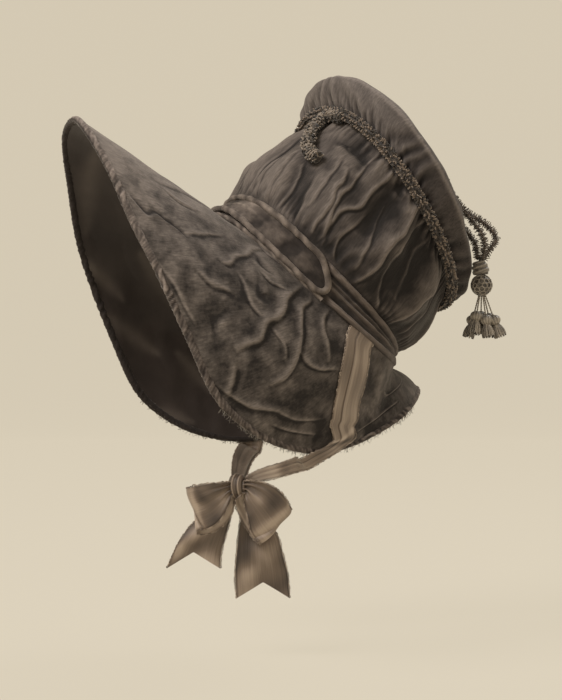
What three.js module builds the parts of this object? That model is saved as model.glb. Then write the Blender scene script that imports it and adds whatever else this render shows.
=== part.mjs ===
// Poke bonnet of dark velvet: a deep scoop brim with a satin lining, a gathered crown closed by a
// puffed round tip, a corded band with a tab, chenille cord and tassel, and ribbon ties in a bow.
// Millimetres. +Z is up, the bonnet faces -Y and the wearer's left side is +X. The origin is the
// middle of the opening in which the head sits.
import * as THREE from 'three';
import { mergeVertices } from 'three/addons/utils/BufferGeometryUtils.js';

// Driving dimensions
const CLOTH = 1.8; // velvet over its stiffening
const SATIN = 1.0; // lining
const RIBBON = 1.0; // folded tie ribbon
const FIT = 0.3; // clearance between neighbours
const BINDING_RADIUS = 3.4; // rolled edge of the brim
const PIPING = 3.0; // how far the band's rolled edges stand out
const CORD_RADIUS = 4.0; // chenille round the crown
const CORD_CLEAR = 1.7; // it rides on the gathers
const LOOP_CORD_RADIUS = 3.4; // its loose curled end
const STRAND_RADIUS = 2.75; // tassel strands
const TIP_DOME = 20; // rise of the tip's face over its rim
const TIE_LIFT = 1.4; // from the brim's face to the middle of a tie on it
const TIE_RISE = 4; // how much more it stands off where it climbs over the binding
const BALL_RADIUS = 8.4; // netted ball of the tassel

// Rings of the body, each by its front, side and nape point. The front and nape points lie in the
// middle plane, and the side point on the wearer's left.
const RINGS = {
  seam: { front: [-84, 54], side: [88, 3, -37], nape: [67, -66] },
  band: { front: [-54, 63], side: [86, 0.5, -4.5], nape: [70, -55] },
  join: { front: [24, 129], side: [84, 59, 63], nape: [117, -7] },
  rim: { front: [22, 158], side: [92, 70, 79], nape: [132, -13] },
};

// Free edge of the brim, every 15 degrees of turn from the front to the nape
const EDGE = [
  { x: 0, y: -180, z: 116 },
  { x: 30, y: -179, z: 105 },
  { x: 55, y: -169, z: 73 },
  { x: 73, y: -158, z: 34 },
  { x: 85, y: -144, z: -1 },
  { x: 90, y: -125, z: -45 },
  { x: 91, y: -105, z: -86 },
  { x: 90, y: -80, z: -109 },
  { x: 86, y: -50, z: -123 },
  { x: 79, y: -14, z: -128 },
  { x: 68, y: 25, z: -117 },
  { x: 50, y: 67, z: -96 },
  { x: 0, y: 92, z: -79 },
];

// Ridges (height above zero) and hollows of the velvet. Each runs from one turn and reach to the
// other. Reach goes from 0 at the band to 1 at the far edge of the piece.
const CROWN_FOLDS = [
  { turn: 22, reach: 0.55, toTurn: 30, toReach: 0.02, height: 3, width: 6 },
  { turn: 37, reach: 0.45, toTurn: 46, toReach: 0.05, height: -3, width: 7 },
  { turn: 54, reach: 0.62, toTurn: 60, toReach: 0.08, height: 4, width: 7 },
  { turn: 71, reach: 0.9, toTurn: 66, toReach: 0.1, height: 4, width: 8 },
  { turn: 40, reach: 0.76, toTurn: 60, toReach: 0.78, height: -4, width: 8 },
  { turn: 82, reach: 0.85, toTurn: 80, toReach: 0.3, height: -4, width: 9 },
  { turn: 94, reach: 0.9, toTurn: 93, toReach: 0.05, height: 5, width: 7 },
  { turn: 112, reach: 0.8, toTurn: 113, toReach: 0.2, height: -4, width: 9 },
  { turn: 128, reach: 0.87, toTurn: 124, toReach: 0.1, height: 5, width: 9 },
  { turn: 152, reach: 0.85, toTurn: 150, toReach: 0.15, height: -3, width: 9 },
];
const BRIM_FOLDS = [
  { turn: 65, reach: 0.08, toTurn: 80, toReach: 0.72, height: 3.5, width: 8 },
  { turn: 72, reach: 0.12, toTurn: 95, toReach: 0.62, height: 3.5, width: 8 },
  { turn: 70, reach: 0.3, toTurn: 84, toReach: 0.55, height: -2, width: 8 },
  { turn: 40, reach: 0.85, toTurn: 44, toReach: 0.35, height: 2, width: 9 },
  { turn: 88, reach: 0.88, toTurn: 120, toReach: 0.7, height: 2.5, width: 9 },
  { turn: 60, reach: 0.7, toTurn: 66, toReach: 0.58, height: -2, width: 10 },
];
const GATHERS = 16; // flutes of the crown below the cord
const GATHER_DEPTH = 1.6;
const MM_PER_DEGREE = 1.5; // of turn, along the body's rings
const BRIM_DEPTH = 110; // from the band to its edge, for the folds
const CROWN_DEPTH = 85; // from the band to the cord, likewise

// The near tie on the brim: the turn of its front and back edge at each reach
const TIE_ON_BRIM = [
  { reach: 0.03, front: 89, back: 104 },
  { reach: 0.16, front: 97, back: 114 },
  { reach: 0.29, front: 104.5, back: 122.5 },
  { reach: 0.45, front: 114, back: 129 },
  { reach: 0.62, front: 123, back: 136 },
  { reach: 0.8, front: 129.5, back: 138 },
  { reach: 0.93, front: 132, back: 140 },
];
const TIE_OVER_EDGE = { front: 133, middle: 137, back: 141 };

// The bow hangs in an upright plane turned this far round from the bonnet's front
const BOW_TURN = 67;
const KNOT = { x: 0, y: -51, z: -156, halfWidth: 6.5, halfHeight: 9, halfDepth: 7.5 };

// Free runs of the ties from under the brim's edge to the knot: centre, width, and how far the
// width leans from level (0) to upright (90)
const LEFT_TIE_RUN = [
  { x: 80, y: -3, z: -134, width: 16, lean: 35 },
  { x: 71, y: -11, z: -134, width: 14, lean: 70 },
  { x: 57, y: -17, z: -135, width: 13, lean: 88 },
  { x: 38, y: -21, z: -139, width: 12, lean: 90 },
  { x: 17, y: -27, z: -144, width: 12, lean: 90 },
  { x: 1, y: -35, z: -149, width: 10, lean: 90 },
  { x: -2.2, y: -41.6, z: -152.5, width: 9, lean: 90 },
];
const RIGHT_TIE_RUN = [
  { x: -81, y: -4, z: -134, width: 16, lean: 35 },
  { x: -74, y: -14, z: -134, width: 15, lean: 60 },
  { x: -60, y: -22, z: -136, width: 13, lean: 80 },
  { x: -40, y: -32, z: -141, width: 12, lean: 88 },
  { x: -20, y: -42, z: -148, width: 11, lean: 90 },
  { x: -8.5, y: -47.6, z: -152.5, width: 10, lean: 90 },
];

// Bow ribbons in the bow's own plane: across and up from the knot, depth towards the viewer,
// width, and the direction of the width from upright
const FRONT_LOOP = [
  { across: -8, up: -2, depth: 5.5, width: 12, lean: 0 },
  { across: -15.5, up: -7.5, depth: 8.5, width: 25, lean: -10 },
  { across: -25, up: -13, depth: 10, width: 32, lean: -17 },
  { across: -31.5, up: -15.5, depth: 9, width: 33, lean: -21 },
  { across: -35, up: -17, depth: 5, width: 33, lean: -22 },
  { across: -31.5, up: -15.5, depth: 1, width: 33, lean: -21 },
  { across: -25, up: -13, depth: -0.5, width: 32, lean: -17 },
  { across: -15.5, up: -7.5, depth: 0.5, width: 25, lean: -10 },
  { across: -8, up: -2, depth: 2.2, width: 12, lean: 0 },
];
const BACK_LOOP = [
  { across: 8, up: -1.5, depth: 5.5, width: 12, lean: 0 },
  { across: 12.5, up: -5, depth: 8.5, width: 22, lean: 16 },
  { across: 19.6, up: -12, depth: 10, width: 30, lean: 24 },
  { across: 27.5, up: -22, depth: 9, width: 35, lean: 32 },
  { across: 32.5, up: -29, depth: 5, width: 34, lean: 44 },
  { across: 27.5, up: -22, depth: 1, width: 35, lean: 32 },
  { across: 19.6, up: -12, depth: 0, width: 30, lean: 24 },
  { across: 12.5, up: -5, depth: 1, width: 22, lean: 16 },
  { across: 8, up: -1.5, depth: 2.4, width: 12, lean: 0 },
];
// Tails: left and right edge at each row, and depth. The last row's notch cuts back into the end.
const FRONT_TAIL = [
  { left: -6.4, right: -0.4, up: -8.5, depth: -3.2 },
  { left: -19, right: -4.2, up: -17, depth: -7 },
  { left: -33, right: -6.5, up: -28, depth: -6 },
  { left: -42, right: -9.5, up: -39, depth: -4 },
  { left: -48, right: -12.4, up: -50, depth: -5 },
  { left: -53.7, right: -13.6, up: -63, depth: -7 },
];
const BACK_TAIL = [
  { left: 0.4, right: 6.4, up: -8.5, depth: -3.2 },
  { left: 3, right: 15, up: -18, depth: -7 },
  { left: 1, right: 29, up: -36, depth: -6 },
  { left: -0.6, right: 34, up: -52, depth: -3 },
  { left: -1.7, right: 37.8, up: -68, depth: -5 },
  { left: -0.8, right: 39.3, up: -86, depth: -8 },
];
const TAIL_NOTCH = 12;

// Loose end of the crown's cord: turn and reach on the crown
const CORD_LOOP = [
  { turn: 23, reach: 0.86 },
  { turn: 15, reach: 0.84 },
  { turn: 14, reach: 0.77 },
  { turn: 18, reach: 0.69 },
  { turn: 24, reach: 0.61 },
  { turn: 30, reach: 0.54 },
  { turn: 37, reach: 0.51 },
  { turn: 42, reach: 0.56 },
  { turn: 40, reach: 0.64 },
  { turn: 33, reach: 0.66 },
];

// Three strands of chenille, from the tip's face to the tassel's neck: places where a strand lies
// on the face (turn and reach), then the points through which it hangs free
const STRANDS = {
  tassel_strand_upper: {
    lying: [[80, 0.82], [97, 0.8], [110, 0.76]],
    hanging: [[50.5, 117, 54], [52, 127, 48.5], [54, 136, 42], [55, 141.5, 35.5], [55, 141, 29.5],
      [54, 137, 25.2], [53.5, 134.4, 21.6]],
  },
  tassel_strand_middle: {
    lying: [[88, 0.76], [103, 0.735], [115, 0.7]],
    hanging: [[55.5, 116.5, 50.5], [57.5, 123, 42], [58.8, 128, 34], [59, 129.8, 27.5],
      [58.6, 129, 21.6]],
  },
  tassel_strand_lower: {
    lying: [[84, 0.91], [110, 0.86], [127, 0.78], [134, 0.71]],
    hanging: [[48.5, 125.5, 32], [50, 127.5, 26.5], [51, 127, 21.6]],
  },
};
const TASSEL = { x: 54.5, y: 129.5, ballZ: -3 };
// Small hanging tassels: where each skirt ends, and its greatest radius
const DROPS = [
  { x: 59.5, y: 119.5, z: -41, radius: 5.2 },
  { x: 61, y: 131.5, z: -44, radius: 4.9 },
  { x: 58.5, y: 145, z: -45, radius: 4.8 },
  { x: 47, y: 115.5, z: -37, radius: 4.3 },
  { x: 49, y: 126.5, z: -43, radius: 4.5 },
  { x: 48, y: 138.5, z: -41, radius: 4.4 },
];

// Counts of faces
const BRIM_COLUMNS = 48;
const BRIM_ROWS = 7;
const CROWN_COLUMNS = 64;
const CROWN_ROWS = 7;
const TIP_COLUMNS = 36;
const TIP_ROWS = 8;
const BAND_COLUMNS = 48;
const CORD_SECTIONS = 60;
const LOOP_SECTIONS = 20;
const STRAND_SECTIONS = 13;

const vector = (x, y, z) => new THREE.Vector3(x, y, z);
const radians = THREE.MathUtils.degToRad;
const mix = (a, b, share) => a.clone().lerp(b, share);
const clamp = THREE.MathUtils.clamp;

// Turn from the front, 0 to 180 on either side
const awayFromFront = (turn) => Math.abs(((turn % 360) + 540) % 360 - 180);

// Point of a ring: an ellipse through its four named points, its sides shifted as a saddle
function ringPoint(name, turn) {
  const { front, side, nape } = RINGS[name];
  const angle = radians(turn);
  const middle = [(front[0] + nape[0]) / 2, (front[1] + nape[1]) / 2];
  const half = [(front[0] - nape[0]) / 2, (front[1] - nape[1]) / 2];
  const saddle = (1 - Math.cos(2 * angle)) / 2;
  return vector(
    side[0] * Math.sin(angle),
    middle[0] + half[0] * Math.cos(angle) + (side[1] - middle[0]) * saddle,
    middle[1] + half[1] * Math.cos(angle) + (side[2] - middle[1]) * saddle,
  );
}

const edgePoints = EDGE.map(({ x, y, z }) => vector(x, y, z));
const mirroredEdge = EDGE.slice(1, -1).reverse().map(({ x, y, z }) => vector(-x, y, z));
const edgeCurve = new THREE.CatmullRomCurve3([...edgePoints, ...mirroredEdge], true, 'catmullrom');
const edgePoint = (turn) => edgeCurve.getPoint((((turn % 360) + 360) % 360) / 360);

// Height of the folds of a list at a place. Each is a bell across its line that fades at its ends.
function foldHeight(folds, turn, reach, depth) {
  const away = awayFromFront(turn);
  let sum = 0;
  for (const fold of folds) {
    const along = [(fold.toTurn - fold.turn) * MM_PER_DEGREE, (fold.toReach - fold.reach) * depth];
    const place = [(away - fold.turn) * MM_PER_DEGREE, (reach - fold.reach) * depth];
    const length = along[0] ** 2 + along[1] ** 2;
    const share = clamp((place[0] * along[0] + place[1] * along[1]) / length, 0, 1);
    const off = Math.hypot(place[0] - share * along[0], place[1] - share * along[1]);
    sum += fold.height * Math.exp(-((off / fold.width) ** 2));
  }
  return sum;
}

// Outward direction of a body surface at a place
function outward(surface, turn, reach, flip = 1) {
  const STEP_TURN = 1.5;
  const STEP_REACH = 0.02;
  const across = surface(turn + STEP_TURN, reach).sub(surface(turn - STEP_TURN, reach));
  const low = Math.max(reach - STEP_REACH, 0);
  const high = Math.min(reach + STEP_REACH, 1);
  const along = surface(turn, high).sub(surface(turn, low));
  return across.cross(along).multiplyScalar(flip).normalize();
}

// Direction up the band from the brim's seam, and out from it
function bandFrame(turn) {
  const low = ringPoint('seam', turn);
  const up = ringPoint('band', turn).sub(low);
  const width = up.length();
  up.divideScalar(width);
  const ahead = ringPoint('seam', turn + 1).sub(ringPoint('seam', turn - 1));
  return { low, up, width, out: ahead.cross(up).normalize() };
}

// Outer face of the brim without folds: straight lines from seam to edge, swelled at the cheeks
function brimForm(turn, reach) {
  const frame = bandFrame(turn);
  const away = awayFromFront(turn);
  const drop = 0.7 + 2.2 * THREE.MathUtils.smoothstep(away, 100, 160);
  const start = frame.low.addScaledVector(frame.up, -drop);
  const end = edgePoint(turn);
  const swell = 1.5 + 9 * Math.exp(-(((away - 85) / 35) ** 2)) + 3 * Math.exp(-(((away - 180) / 25) ** 2));
  const ahead = edgePoint(turn + 2).sub(edgePoint(turn - 2));
  const out = end.clone().sub(start).cross(ahead).normalize();
  return mix(start, end, reach).addScaledVector(out, 4 * swell * reach * (1 - reach));
}
const brimDepth = (turn) => edgePoint(turn).distanceTo(ringPoint('seam', turn));
const brimOut = (turn, reach) => outward(brimForm, turn, reach, -1);
function brimFace(turn, reach, lift = 0) {
  const fade = Math.min(1, reach / 0.12) * Math.min(1, (1 - reach) / 0.12);
  const height = foldHeight(BRIM_FOLDS, turn, reach, BRIM_DEPTH) * fade;
  return brimForm(turn, reach).addScaledVector(brimOut(turn, reach), height + lift);
}

// Outer face of the crown's wall: it swells over the band and is gathered below the cord
function crownForm(turn, reach) {
  const frame = bandFrame(turn);
  const start = ringPoint('band', turn).addScaledVector(frame.up, 0.5);
  const end = ringPoint('join', turn);
  const ahead = ringPoint('band', turn + 2).sub(ringPoint('band', turn - 2));
  const out = ahead.cross(end.clone().sub(start)).normalize();
  const swell = 7 + 3 * THREE.MathUtils.smoothstep(awayFromFront(turn), 110, 160);
  return mix(start, end, reach).addScaledVector(out, swell * Math.sin(Math.PI * reach ** 0.7));
}
const crownOut = (turn, reach) => outward(crownForm, turn, reach);
function crownFace(turn, reach, lift = 0) {
  const fade = Math.min(1, reach / 0.1) * Math.min(1, (1 - reach) / 0.25) ** 1.5;
  const gather = GATHER_DEPTH * Math.cos(radians(GATHERS * turn)) * reach;
  const height = (foldHeight(CROWN_FOLDS, turn, reach, CROWN_DEPTH) + gather) * fade;
  return crownForm(turn, reach).addScaledVector(crownOut(turn, reach), height + lift);
}

// Outer face of the tip: a puffed side from the join out to the rim, then a domed face to its
// middle. Both are quarter ellipses that meet along the rim.
const tipMiddle = vector(0, (RINGS.rim.front[0] + RINGS.rim.nape[0]) / 2,
  (RINGS.rim.front[1] + RINGS.rim.nape[1]) / 2);
const tipAxis = vector(0, RINGS.rim.front[1] - RINGS.rim.nape[1],
  RINGS.rim.nape[0] - RINGS.rim.front[0]).normalize();
const TIP_SIDE = 0.375; // share of the rows on the puffed side
const TIP_RADIUS = 95; // mean radius of the rim
function tipFace(turn, reach) {
  const rim = ringPoint('rim', turn);
  if (reach < TIP_SIDE) {
    const angle = (Math.PI / 2) * (reach / TIP_SIDE);
    const start = ringPoint('join', turn);
    const across = rim.clone().sub(start);
    const axial = tipAxis.clone().multiplyScalar(across.dot(tipAxis));
    const radial = across.sub(axial);
    return start.addScaledVector(radial, Math.sin(angle)).addScaledVector(axial, 1 - Math.cos(angle));
  }
  const angle = (Math.PI / 2) * ((reach - TIP_SIDE) / (1 - TIP_SIDE));
  const radial = rim.sub(tipMiddle);
  return tipMiddle.clone().addScaledVector(radial, Math.cos(angle))
    .addScaledVector(tipAxis, TIP_DOME * Math.sin(angle));
}

// Closed body from a row of closed loops of points, capped at both ends or joined into a ring.
// From mirrorFrom on, its squares are split the other way.
function skin(loops, joined, mirrorFrom = Infinity) {
  const count = loops[0].length;
  const points = loops.flat();
  const faces = [];
  const last = joined ? loops.length : loops.length - 1;
  for (let i = 0; i < last; i += 1) {
    for (let j = 0; j < count; j += 1) {
      const a = i * count + j;
      const b = i * count + ((j + 1) % count);
      const c = ((i + 1) % loops.length) * count + ((j + 1) % count);
      const d = ((i + 1) % loops.length) * count + j;
      if (j < mirrorFrom) faces.push([a, b, c], [a, c, d]);
      else faces.push([a, b, d], [b, c, d]);
    }
  }
  if (!joined) {
    for (const [start, turnBack] of [[0, true], [(loops.length - 1) * count, false]]) {
      const middle = points.length;
      const sum = vector(0, 0, 0);
      for (let j = 0; j < count; j += 1) sum.add(points[start + j]);
      points.push(sum.divideScalar(count));
      for (let j = 0; j < count; j += 1) {
        const a = start + j;
        const b = start + ((j + 1) % count);
        faces.push(turnBack ? [middle, b, a] : [middle, a, b]);
      }
    }
  }
  return closedGeometry(points, faces);
}

// Geometry with shared corners, no flat faces, and its faces turned outwards
function closedGeometry(points, faces) {
  let volume = 0;
  for (const [a, b, c] of faces) {
    volume += points[a].dot(points[b].clone().cross(points[c]));
  }
  const geometry = new THREE.BufferGeometry();
  geometry.setAttribute('position',
    new THREE.Float32BufferAttribute(points.flatMap((p) => [p.x, p.y, p.z]), 3));
  geometry.setIndex(faces.flatMap(([a, b, c]) => (volume < 0 ? [a, c, b] : [a, b, c])));
  const merged = mergeVertices(geometry, 1e-3);
  const index = merged.getIndex().array;
  const kept = [];
  for (let i = 0; i < index.length; i += 3) {
    const [a, b, c] = index.slice(i, i + 3);
    if (a !== b && b !== c && c !== a) kept.push(a, b, c);
  }
  merged.setIndex(kept);
  merged.computeVertexNormals();
  return merged;
}

// Wall round the body: its outer and inner face at each turn, as one closed loop of points. Both
// faces are split alike, so that one wall lies evenly in the next.
function ringWall(columns, rows, outer, inner) {
  const loops = [];
  for (let i = 0; i < columns; i += 1) {
    const turn = (360 * i) / columns;
    const loop = [];
    for (let j = 0; j <= rows; j += 1) loop.push(outer(turn, j / rows));
    for (let j = rows; j >= 0; j -= 1) loop.push(inner(turn, j / rows));
    loops.push(loop);
  }
  return skin(loops, true, rows + 1);
}

// Round section about a centre, in the plane of two directions
function circle(centre, right, up, radius, sides) {
  const loop = [];
  for (let j = 0; j < sides; j += 1) {
    const angle = (2 * Math.PI * j) / sides;
    loop.push(centre.clone().addScaledVector(right, radius * Math.cos(angle))
      .addScaledVector(up, radius * Math.sin(angle)));
  }
  return loop;
}

// Flat ribbon through stations, each with its two edges, the direction of its thickness and,
// where it is bent across, its middle
function ribbon(stations) {
  const loops = stations.map((station) => {
    const { left, right, out } = station;
    const middle = station.middle ?? mix(left, right, 0.5);
    const top = [left, middle, right].map((p) => p.clone().addScaledVector(out, RIBBON / 2));
    const under = [right, middle, left].map((p) => p.clone().addScaledVector(out, -RIBBON / 2));
    return [...top, ...under];
  });
  return skin(loops, false);
}

// Tube along a smooth line through points
function tube(points, radius, sides, steps) {
  const curve = new THREE.CatmullRomCurve3(points, false, 'centripetal');
  const section = new THREE.Shape();
  for (let j = 0; j < sides; j += 1) {
    const angle = (2 * Math.PI * j) / sides;
    section[j ? 'lineTo' : 'moveTo'](radius * Math.cos(angle), radius * Math.sin(angle));
  }
  section.closePath();
  return new THREE.ExtrudeGeometry(section, { steps, extrudePath: curve, bevelEnabled: false });
}

const velvet = (color) => new THREE.MeshStandardMaterial({ color, roughness: 0.85, metalness: 0 });
const VELVET = velvet(0x5d5852);
const VELVET_LIGHT = velvet(0x7f756a);
const LINING = new THREE.MeshStandardMaterial({ color: 0x2f2a28, roughness: 0.5, metalness: 0 });
const CHENILLE = velvet(0x54483d);
const TASSEL_SILK = new THREE.MeshStandardMaterial({ color: 0x8a8274, roughness: 0.6, metalness: 0 });
const TIE_SILK = new THREE.MeshStandardMaterial({ color: 0x7d6c5c, roughness: 0.5, metalness: 0 });

const bonnet = new THREE.Group();
function add(name, geometry, material) {
  const mesh = new THREE.Mesh(geometry, material.clone());
  mesh.name = name;
  bonnet.add(mesh);
  return mesh;
}

// Brim: its cover and lining stop short of the rolled binding
const bindingCentre = (turn) => 1 - BINDING_RADIUS / brimDepth(turn);
const bindingInset = (turn) => 1 - (2 * BINDING_RADIUS + 2 * FIT) / brimDepth(turn);
const coverMiddle = (CLOTH + FIT + SATIN) / 2; // from the outer face to the middle of the layers
function addBrim() {
  add('brim_cover', ringWall(BRIM_COLUMNS, BRIM_ROWS,
    (turn, share) => brimFace(turn, share * bindingInset(turn)),
    (turn, share) => brimFace(turn, share * bindingInset(turn), -CLOTH)), VELVET);
  add('brim_lining', ringWall(BRIM_COLUMNS, BRIM_ROWS,
    (turn, share) => brimFace(turn, share * bindingInset(turn), -CLOTH - FIT),
    (turn, share) => brimFace(turn, share * bindingInset(turn), -CLOTH - FIT - SATIN)), LINING);
  const loops = [];
  for (let i = 0; i < BRIM_COLUMNS; i += 1) {
    const turn = (360 * i) / BRIM_COLUMNS;
    const out = brimOut(turn, 1);
    const onward = brimForm(turn, 1).sub(brimForm(turn, 0.9)).normalize();
    const centre = brimForm(turn, bindingCentre(turn)).addScaledVector(out, -coverMiddle);
    loops.push(circle(centre, onward, out, BINDING_RADIUS, 6));
  }
  add('brim_binding', skin(loops, true), VELVET_LIGHT);
}

// Band: a flat web with a rolled edge above and below, which the tab covers at the front
const TAB_END = 75; // turn of its rounded end
const TAB_ROUND = 8; // turn that the rounding takes
function addBand() {
  const rollAt = (turn) => PIPING * clamp((awayFromFront(turn) - TAB_END) / 4, 0, 1);
  const loops = [];
  for (let i = 0; i < BAND_COLUMNS; i += 1) {
    const turn = (360 * i) / BAND_COLUMNS;
    const { low, up, width, out } = bandFrame(turn);
    const roll = rollAt(turn);
    const profile = [
      [0, -CLOTH], [0, roll * 0.6], [2.2, roll], [5, roll * 0.7], [6.5, 0],
      [width - 6.5, 0], [width - 5, roll * 0.7], [width - 2.2, roll], [width, roll * 0.6],
      [width, -CLOTH],
    ];
    loops.push(profile.map(([rise, lift]) => low.clone().addScaledVector(up, rise)
      .addScaledVector(out, lift)));
  }
  add('crown_band', skin(loops, true), VELVET);

  const column = 360 / BAND_COLUMNS;
  const straight = Math.floor((TAB_END - TAB_ROUND) / column);
  const ends = [0.35, 0.7, 0.9, 1].map((share) => TAB_END - TAB_ROUND * (1 - share));
  const turns = ends.map((turn) => -turn).reverse();
  for (let i = -straight; i <= straight; i += 1) turns.push(i * column);
  turns.push(...ends);
  const tab = [];
  for (const turn of turns) {
    const { low, up, width, out } = bandFrame(turn);
    const past = clamp((Math.abs(turn) - (TAB_END - TAB_ROUND)) / TAB_ROUND, 0, 0.98);
    const half = (width / 2 - 0.4) * Math.sqrt(1 - past * past);
    const base = low.addScaledVector(up, width / 2);
    const under = FIT + 0.9;
    const profile = [
      [-1, under], [-1, PIPING], [-0.82, PIPING + 1.2], [-0.62, PIPING * 0.8], [-0.4, 2.2],
      [0.4, 2.2], [0.62, PIPING * 0.8], [0.82, PIPING + 1.2], [1, PIPING], [1, under],
    ];
    tab.push(profile.map(([side, lift]) => base.clone().addScaledVector(up, side * half)
      .addScaledVector(out, lift)));
  }
  add('band_tab', skin(tab, false), VELVET_LIGHT);
}

// Crown: the gathered wall, the tip, and the cord in the groove between them
function addCrown() {
  add('crown_wall', ringWall(CROWN_COLUMNS, CROWN_ROWS,
    (turn, reach) => crownFace(turn, reach),
    (turn, reach) => crownFace(turn, reach, -CLOTH)), VELVET);
  const tipInside = (turn, reach) => {
    const point = tipFace(turn, reach);
    const radial = point.clone().sub(tipMiddle);
    radial.addScaledVector(tipAxis, -radial.dot(tipAxis)).multiplyScalar(CLOTH / TIP_RADIUS);
    return point.sub(radial).addScaledVector(tipAxis, reach < TIP_SIDE * 0.8 ? CLOTH : -CLOTH);
  };
  const start = (turn, share) => tipFace(turn, share).addScaledVector(tipAxis, FIT);
  add('crown_tip', ringWall(TIP_COLUMNS, TIP_ROWS, start,
    (turn, share) => tipInside(turn, share).addScaledVector(tipAxis, FIT)), VELVET);
  const loops = [];
  for (let i = 0; i < CORD_SECTIONS; i += 1) {
    const turn = (360 * i) / CORD_SECTIONS;
    const corner = ringPoint('join', turn);
    const wallDown = crownForm(turn, 0.85).sub(corner).normalize();
    const side = corner.clone().sub(tipMiddle);
    side.addScaledVector(tipAxis, -side.dot(tipAxis)).normalize();
    const away = wallDown.clone().add(side).normalize();
    const reach = (CORD_RADIUS + CORD_CLEAR) / Math.sin(wallDown.angleTo(side) / 2);
    const centre = corner.addScaledVector(away, reach);
    const along = ringPoint('join', turn + 1).sub(ringPoint('join', turn - 1)).normalize();
    const other = along.cross(away);
    loops.push(circle(centre, away, other, CORD_RADIUS, 6));
  }
  add('crown_cord', skin(loops, true), CHENILLE);
  const loopPoints = CORD_LOOP.map(({ turn, reach }) => (
    crownFace(turn, reach, LOOP_CORD_RADIUS + 3 * FIT)));
  add('crown_cord_loop', tube(loopPoints, LOOP_CORD_RADIUS, 8, LOOP_SECTIONS), CHENILLE);
}

// Tassel: three strands, a wrapped neck, a netted ball and six small tassels
function addTassel() {
  for (const [name, { lying, hanging }] of Object.entries(STRANDS)) {
    const onFace = lying.map(([turn, reach]) => tipFace(turn, reach)
      .addScaledVector(outward(tipFace, turn, reach), STRAND_RADIUS + 3 * FIT));
    const points = [...onFace, ...hanging.map((row) => vector(...row))];
    add(name, tube(points, STRAND_RADIUS, 8, STRAND_SECTIONS), CHENILLE);
  }
  const lathe = (profile, sides) => new THREE.LatheGeometry(
    profile.map(([radius, rise]) => new THREE.Vector2(radius, rise)), sides);
  const neck = add('tassel_neck', lathe([
    [0, -4.2], [4.2, -4.2], [5.8, -3.2], [5.9, 1.4], [4.4, 2.6], [5.4, 5.2], [4.6, 11], [0, 11],
  ], 10), TASSEL_SILK);
  neck.rotation.x = Math.PI / 2;
  neck.position.set(TASSEL.x, TASSEL.y, TASSEL.ballZ + BALL_RADIUS + FIT + 4.2);
  const ball = add('tassel_ball', new THREE.SphereGeometry(BALL_RADIUS, 12, 8), TASSEL_SILK);
  ball.rotation.x = Math.PI / 2;
  ball.position.set(TASSEL.x, TASSEL.y, TASSEL.ballZ);

  const down = vector(0, -1, 0);
  const centre = vector(TASSEL.x, TASSEL.y, TASSEL.ballZ);
  DROPS.forEach(({ x, y, z, radius }, number) => {
    const end = vector(x, y, z);
    const aim = end.clone().sub(centre).normalize();
    const start = centre.clone().addScaledVector(aim, BALL_RADIUS + FIT);
    const length = start.distanceTo(end);
    const skirt = length - 11.5;
    const drop = add(`tassel_drop_${number + 1}`, lathe([
      [0, -length], [radius * 0.85, -length], [radius, -length + 2.5], [radius * 0.82, -skirt - 2],
      [2.6, -skirt], [4.1, -skirt + 3.2], [2.6, -skirt + 6], [0.8, -skirt + 6.8], [0.8, 0], [0, 0],
    ], 8), TASSEL_SILK);
    drop.quaternion.setFromUnitVectors(down, aim);
    drop.position.copy(start);
  });
}

// Ties: flat on the brim from the band to its edge, over the binding, then free to the knot
function addTie(name, side, run) {
  const stations = [];
  for (const { reach, front, back } of TIE_ON_BRIM) {
    const lift = TIE_LIFT + TIE_RISE * clamp((reach - 0.7) / 0.23, 0, 1) ** 2;
    const turn = side * (front + back) / 2;
    stations.push({
      left: brimFace(side * front, reach, lift),
      middle: brimFace(turn, reach, lift),
      right: brimFace(side * back, reach, lift),
      out: brimOut(turn, reach),
    });
  }
  const middleTurn = side * TIE_OVER_EDGE.middle;
  const over = brimOut(middleTurn, 1);
  const onward = brimForm(middleTurn, 1).sub(brimForm(middleTurn, 0.9)).normalize();
  const lift = (BINDING_RADIUS + FIT + RIBBON / 2) * 1.25; // it stands off the binding's corners
  for (const angle of [65, 10]) {
    const out = over.clone().multiplyScalar(Math.sin(radians(angle)))
      .addScaledVector(onward, Math.cos(radians(angle)));
    const [left, right] = [TIE_OVER_EDGE.front, TIE_OVER_EDGE.back].map((turn) => (
      brimForm(side * turn, bindingCentre(turn)).addScaledVector(over, -coverMiddle)
        .addScaledVector(out, lift)));
    stations.push({ left, right, out });
  }
  run.forEach(({ x, y, z, width, lean }, i) => {
    const centre = vector(x, y, z);
    const before = run[Math.max(i - 1, 0)];
    const after = run[Math.min(i + 1, run.length - 1)];
    const along = vector(after.x - before.x, after.y - before.y, after.z - before.z).normalize();
    const level = vector(-along.y, along.x, 0).normalize().multiplyScalar(side);
    const upright = along.clone().cross(level).multiplyScalar(-side).normalize();
    const across = level.multiplyScalar(Math.cos(radians(lean)))
      .addScaledVector(upright, Math.sin(radians(lean)));
    stations.push({
      left: centre.clone().addScaledVector(across, -width / 2),
      right: centre.clone().addScaledVector(across, width / 2),
      out: along.cross(across).normalize().multiplyScalar(side),
    });
  });
  add(name, ribbon(stations), TIE_SILK);
}

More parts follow.
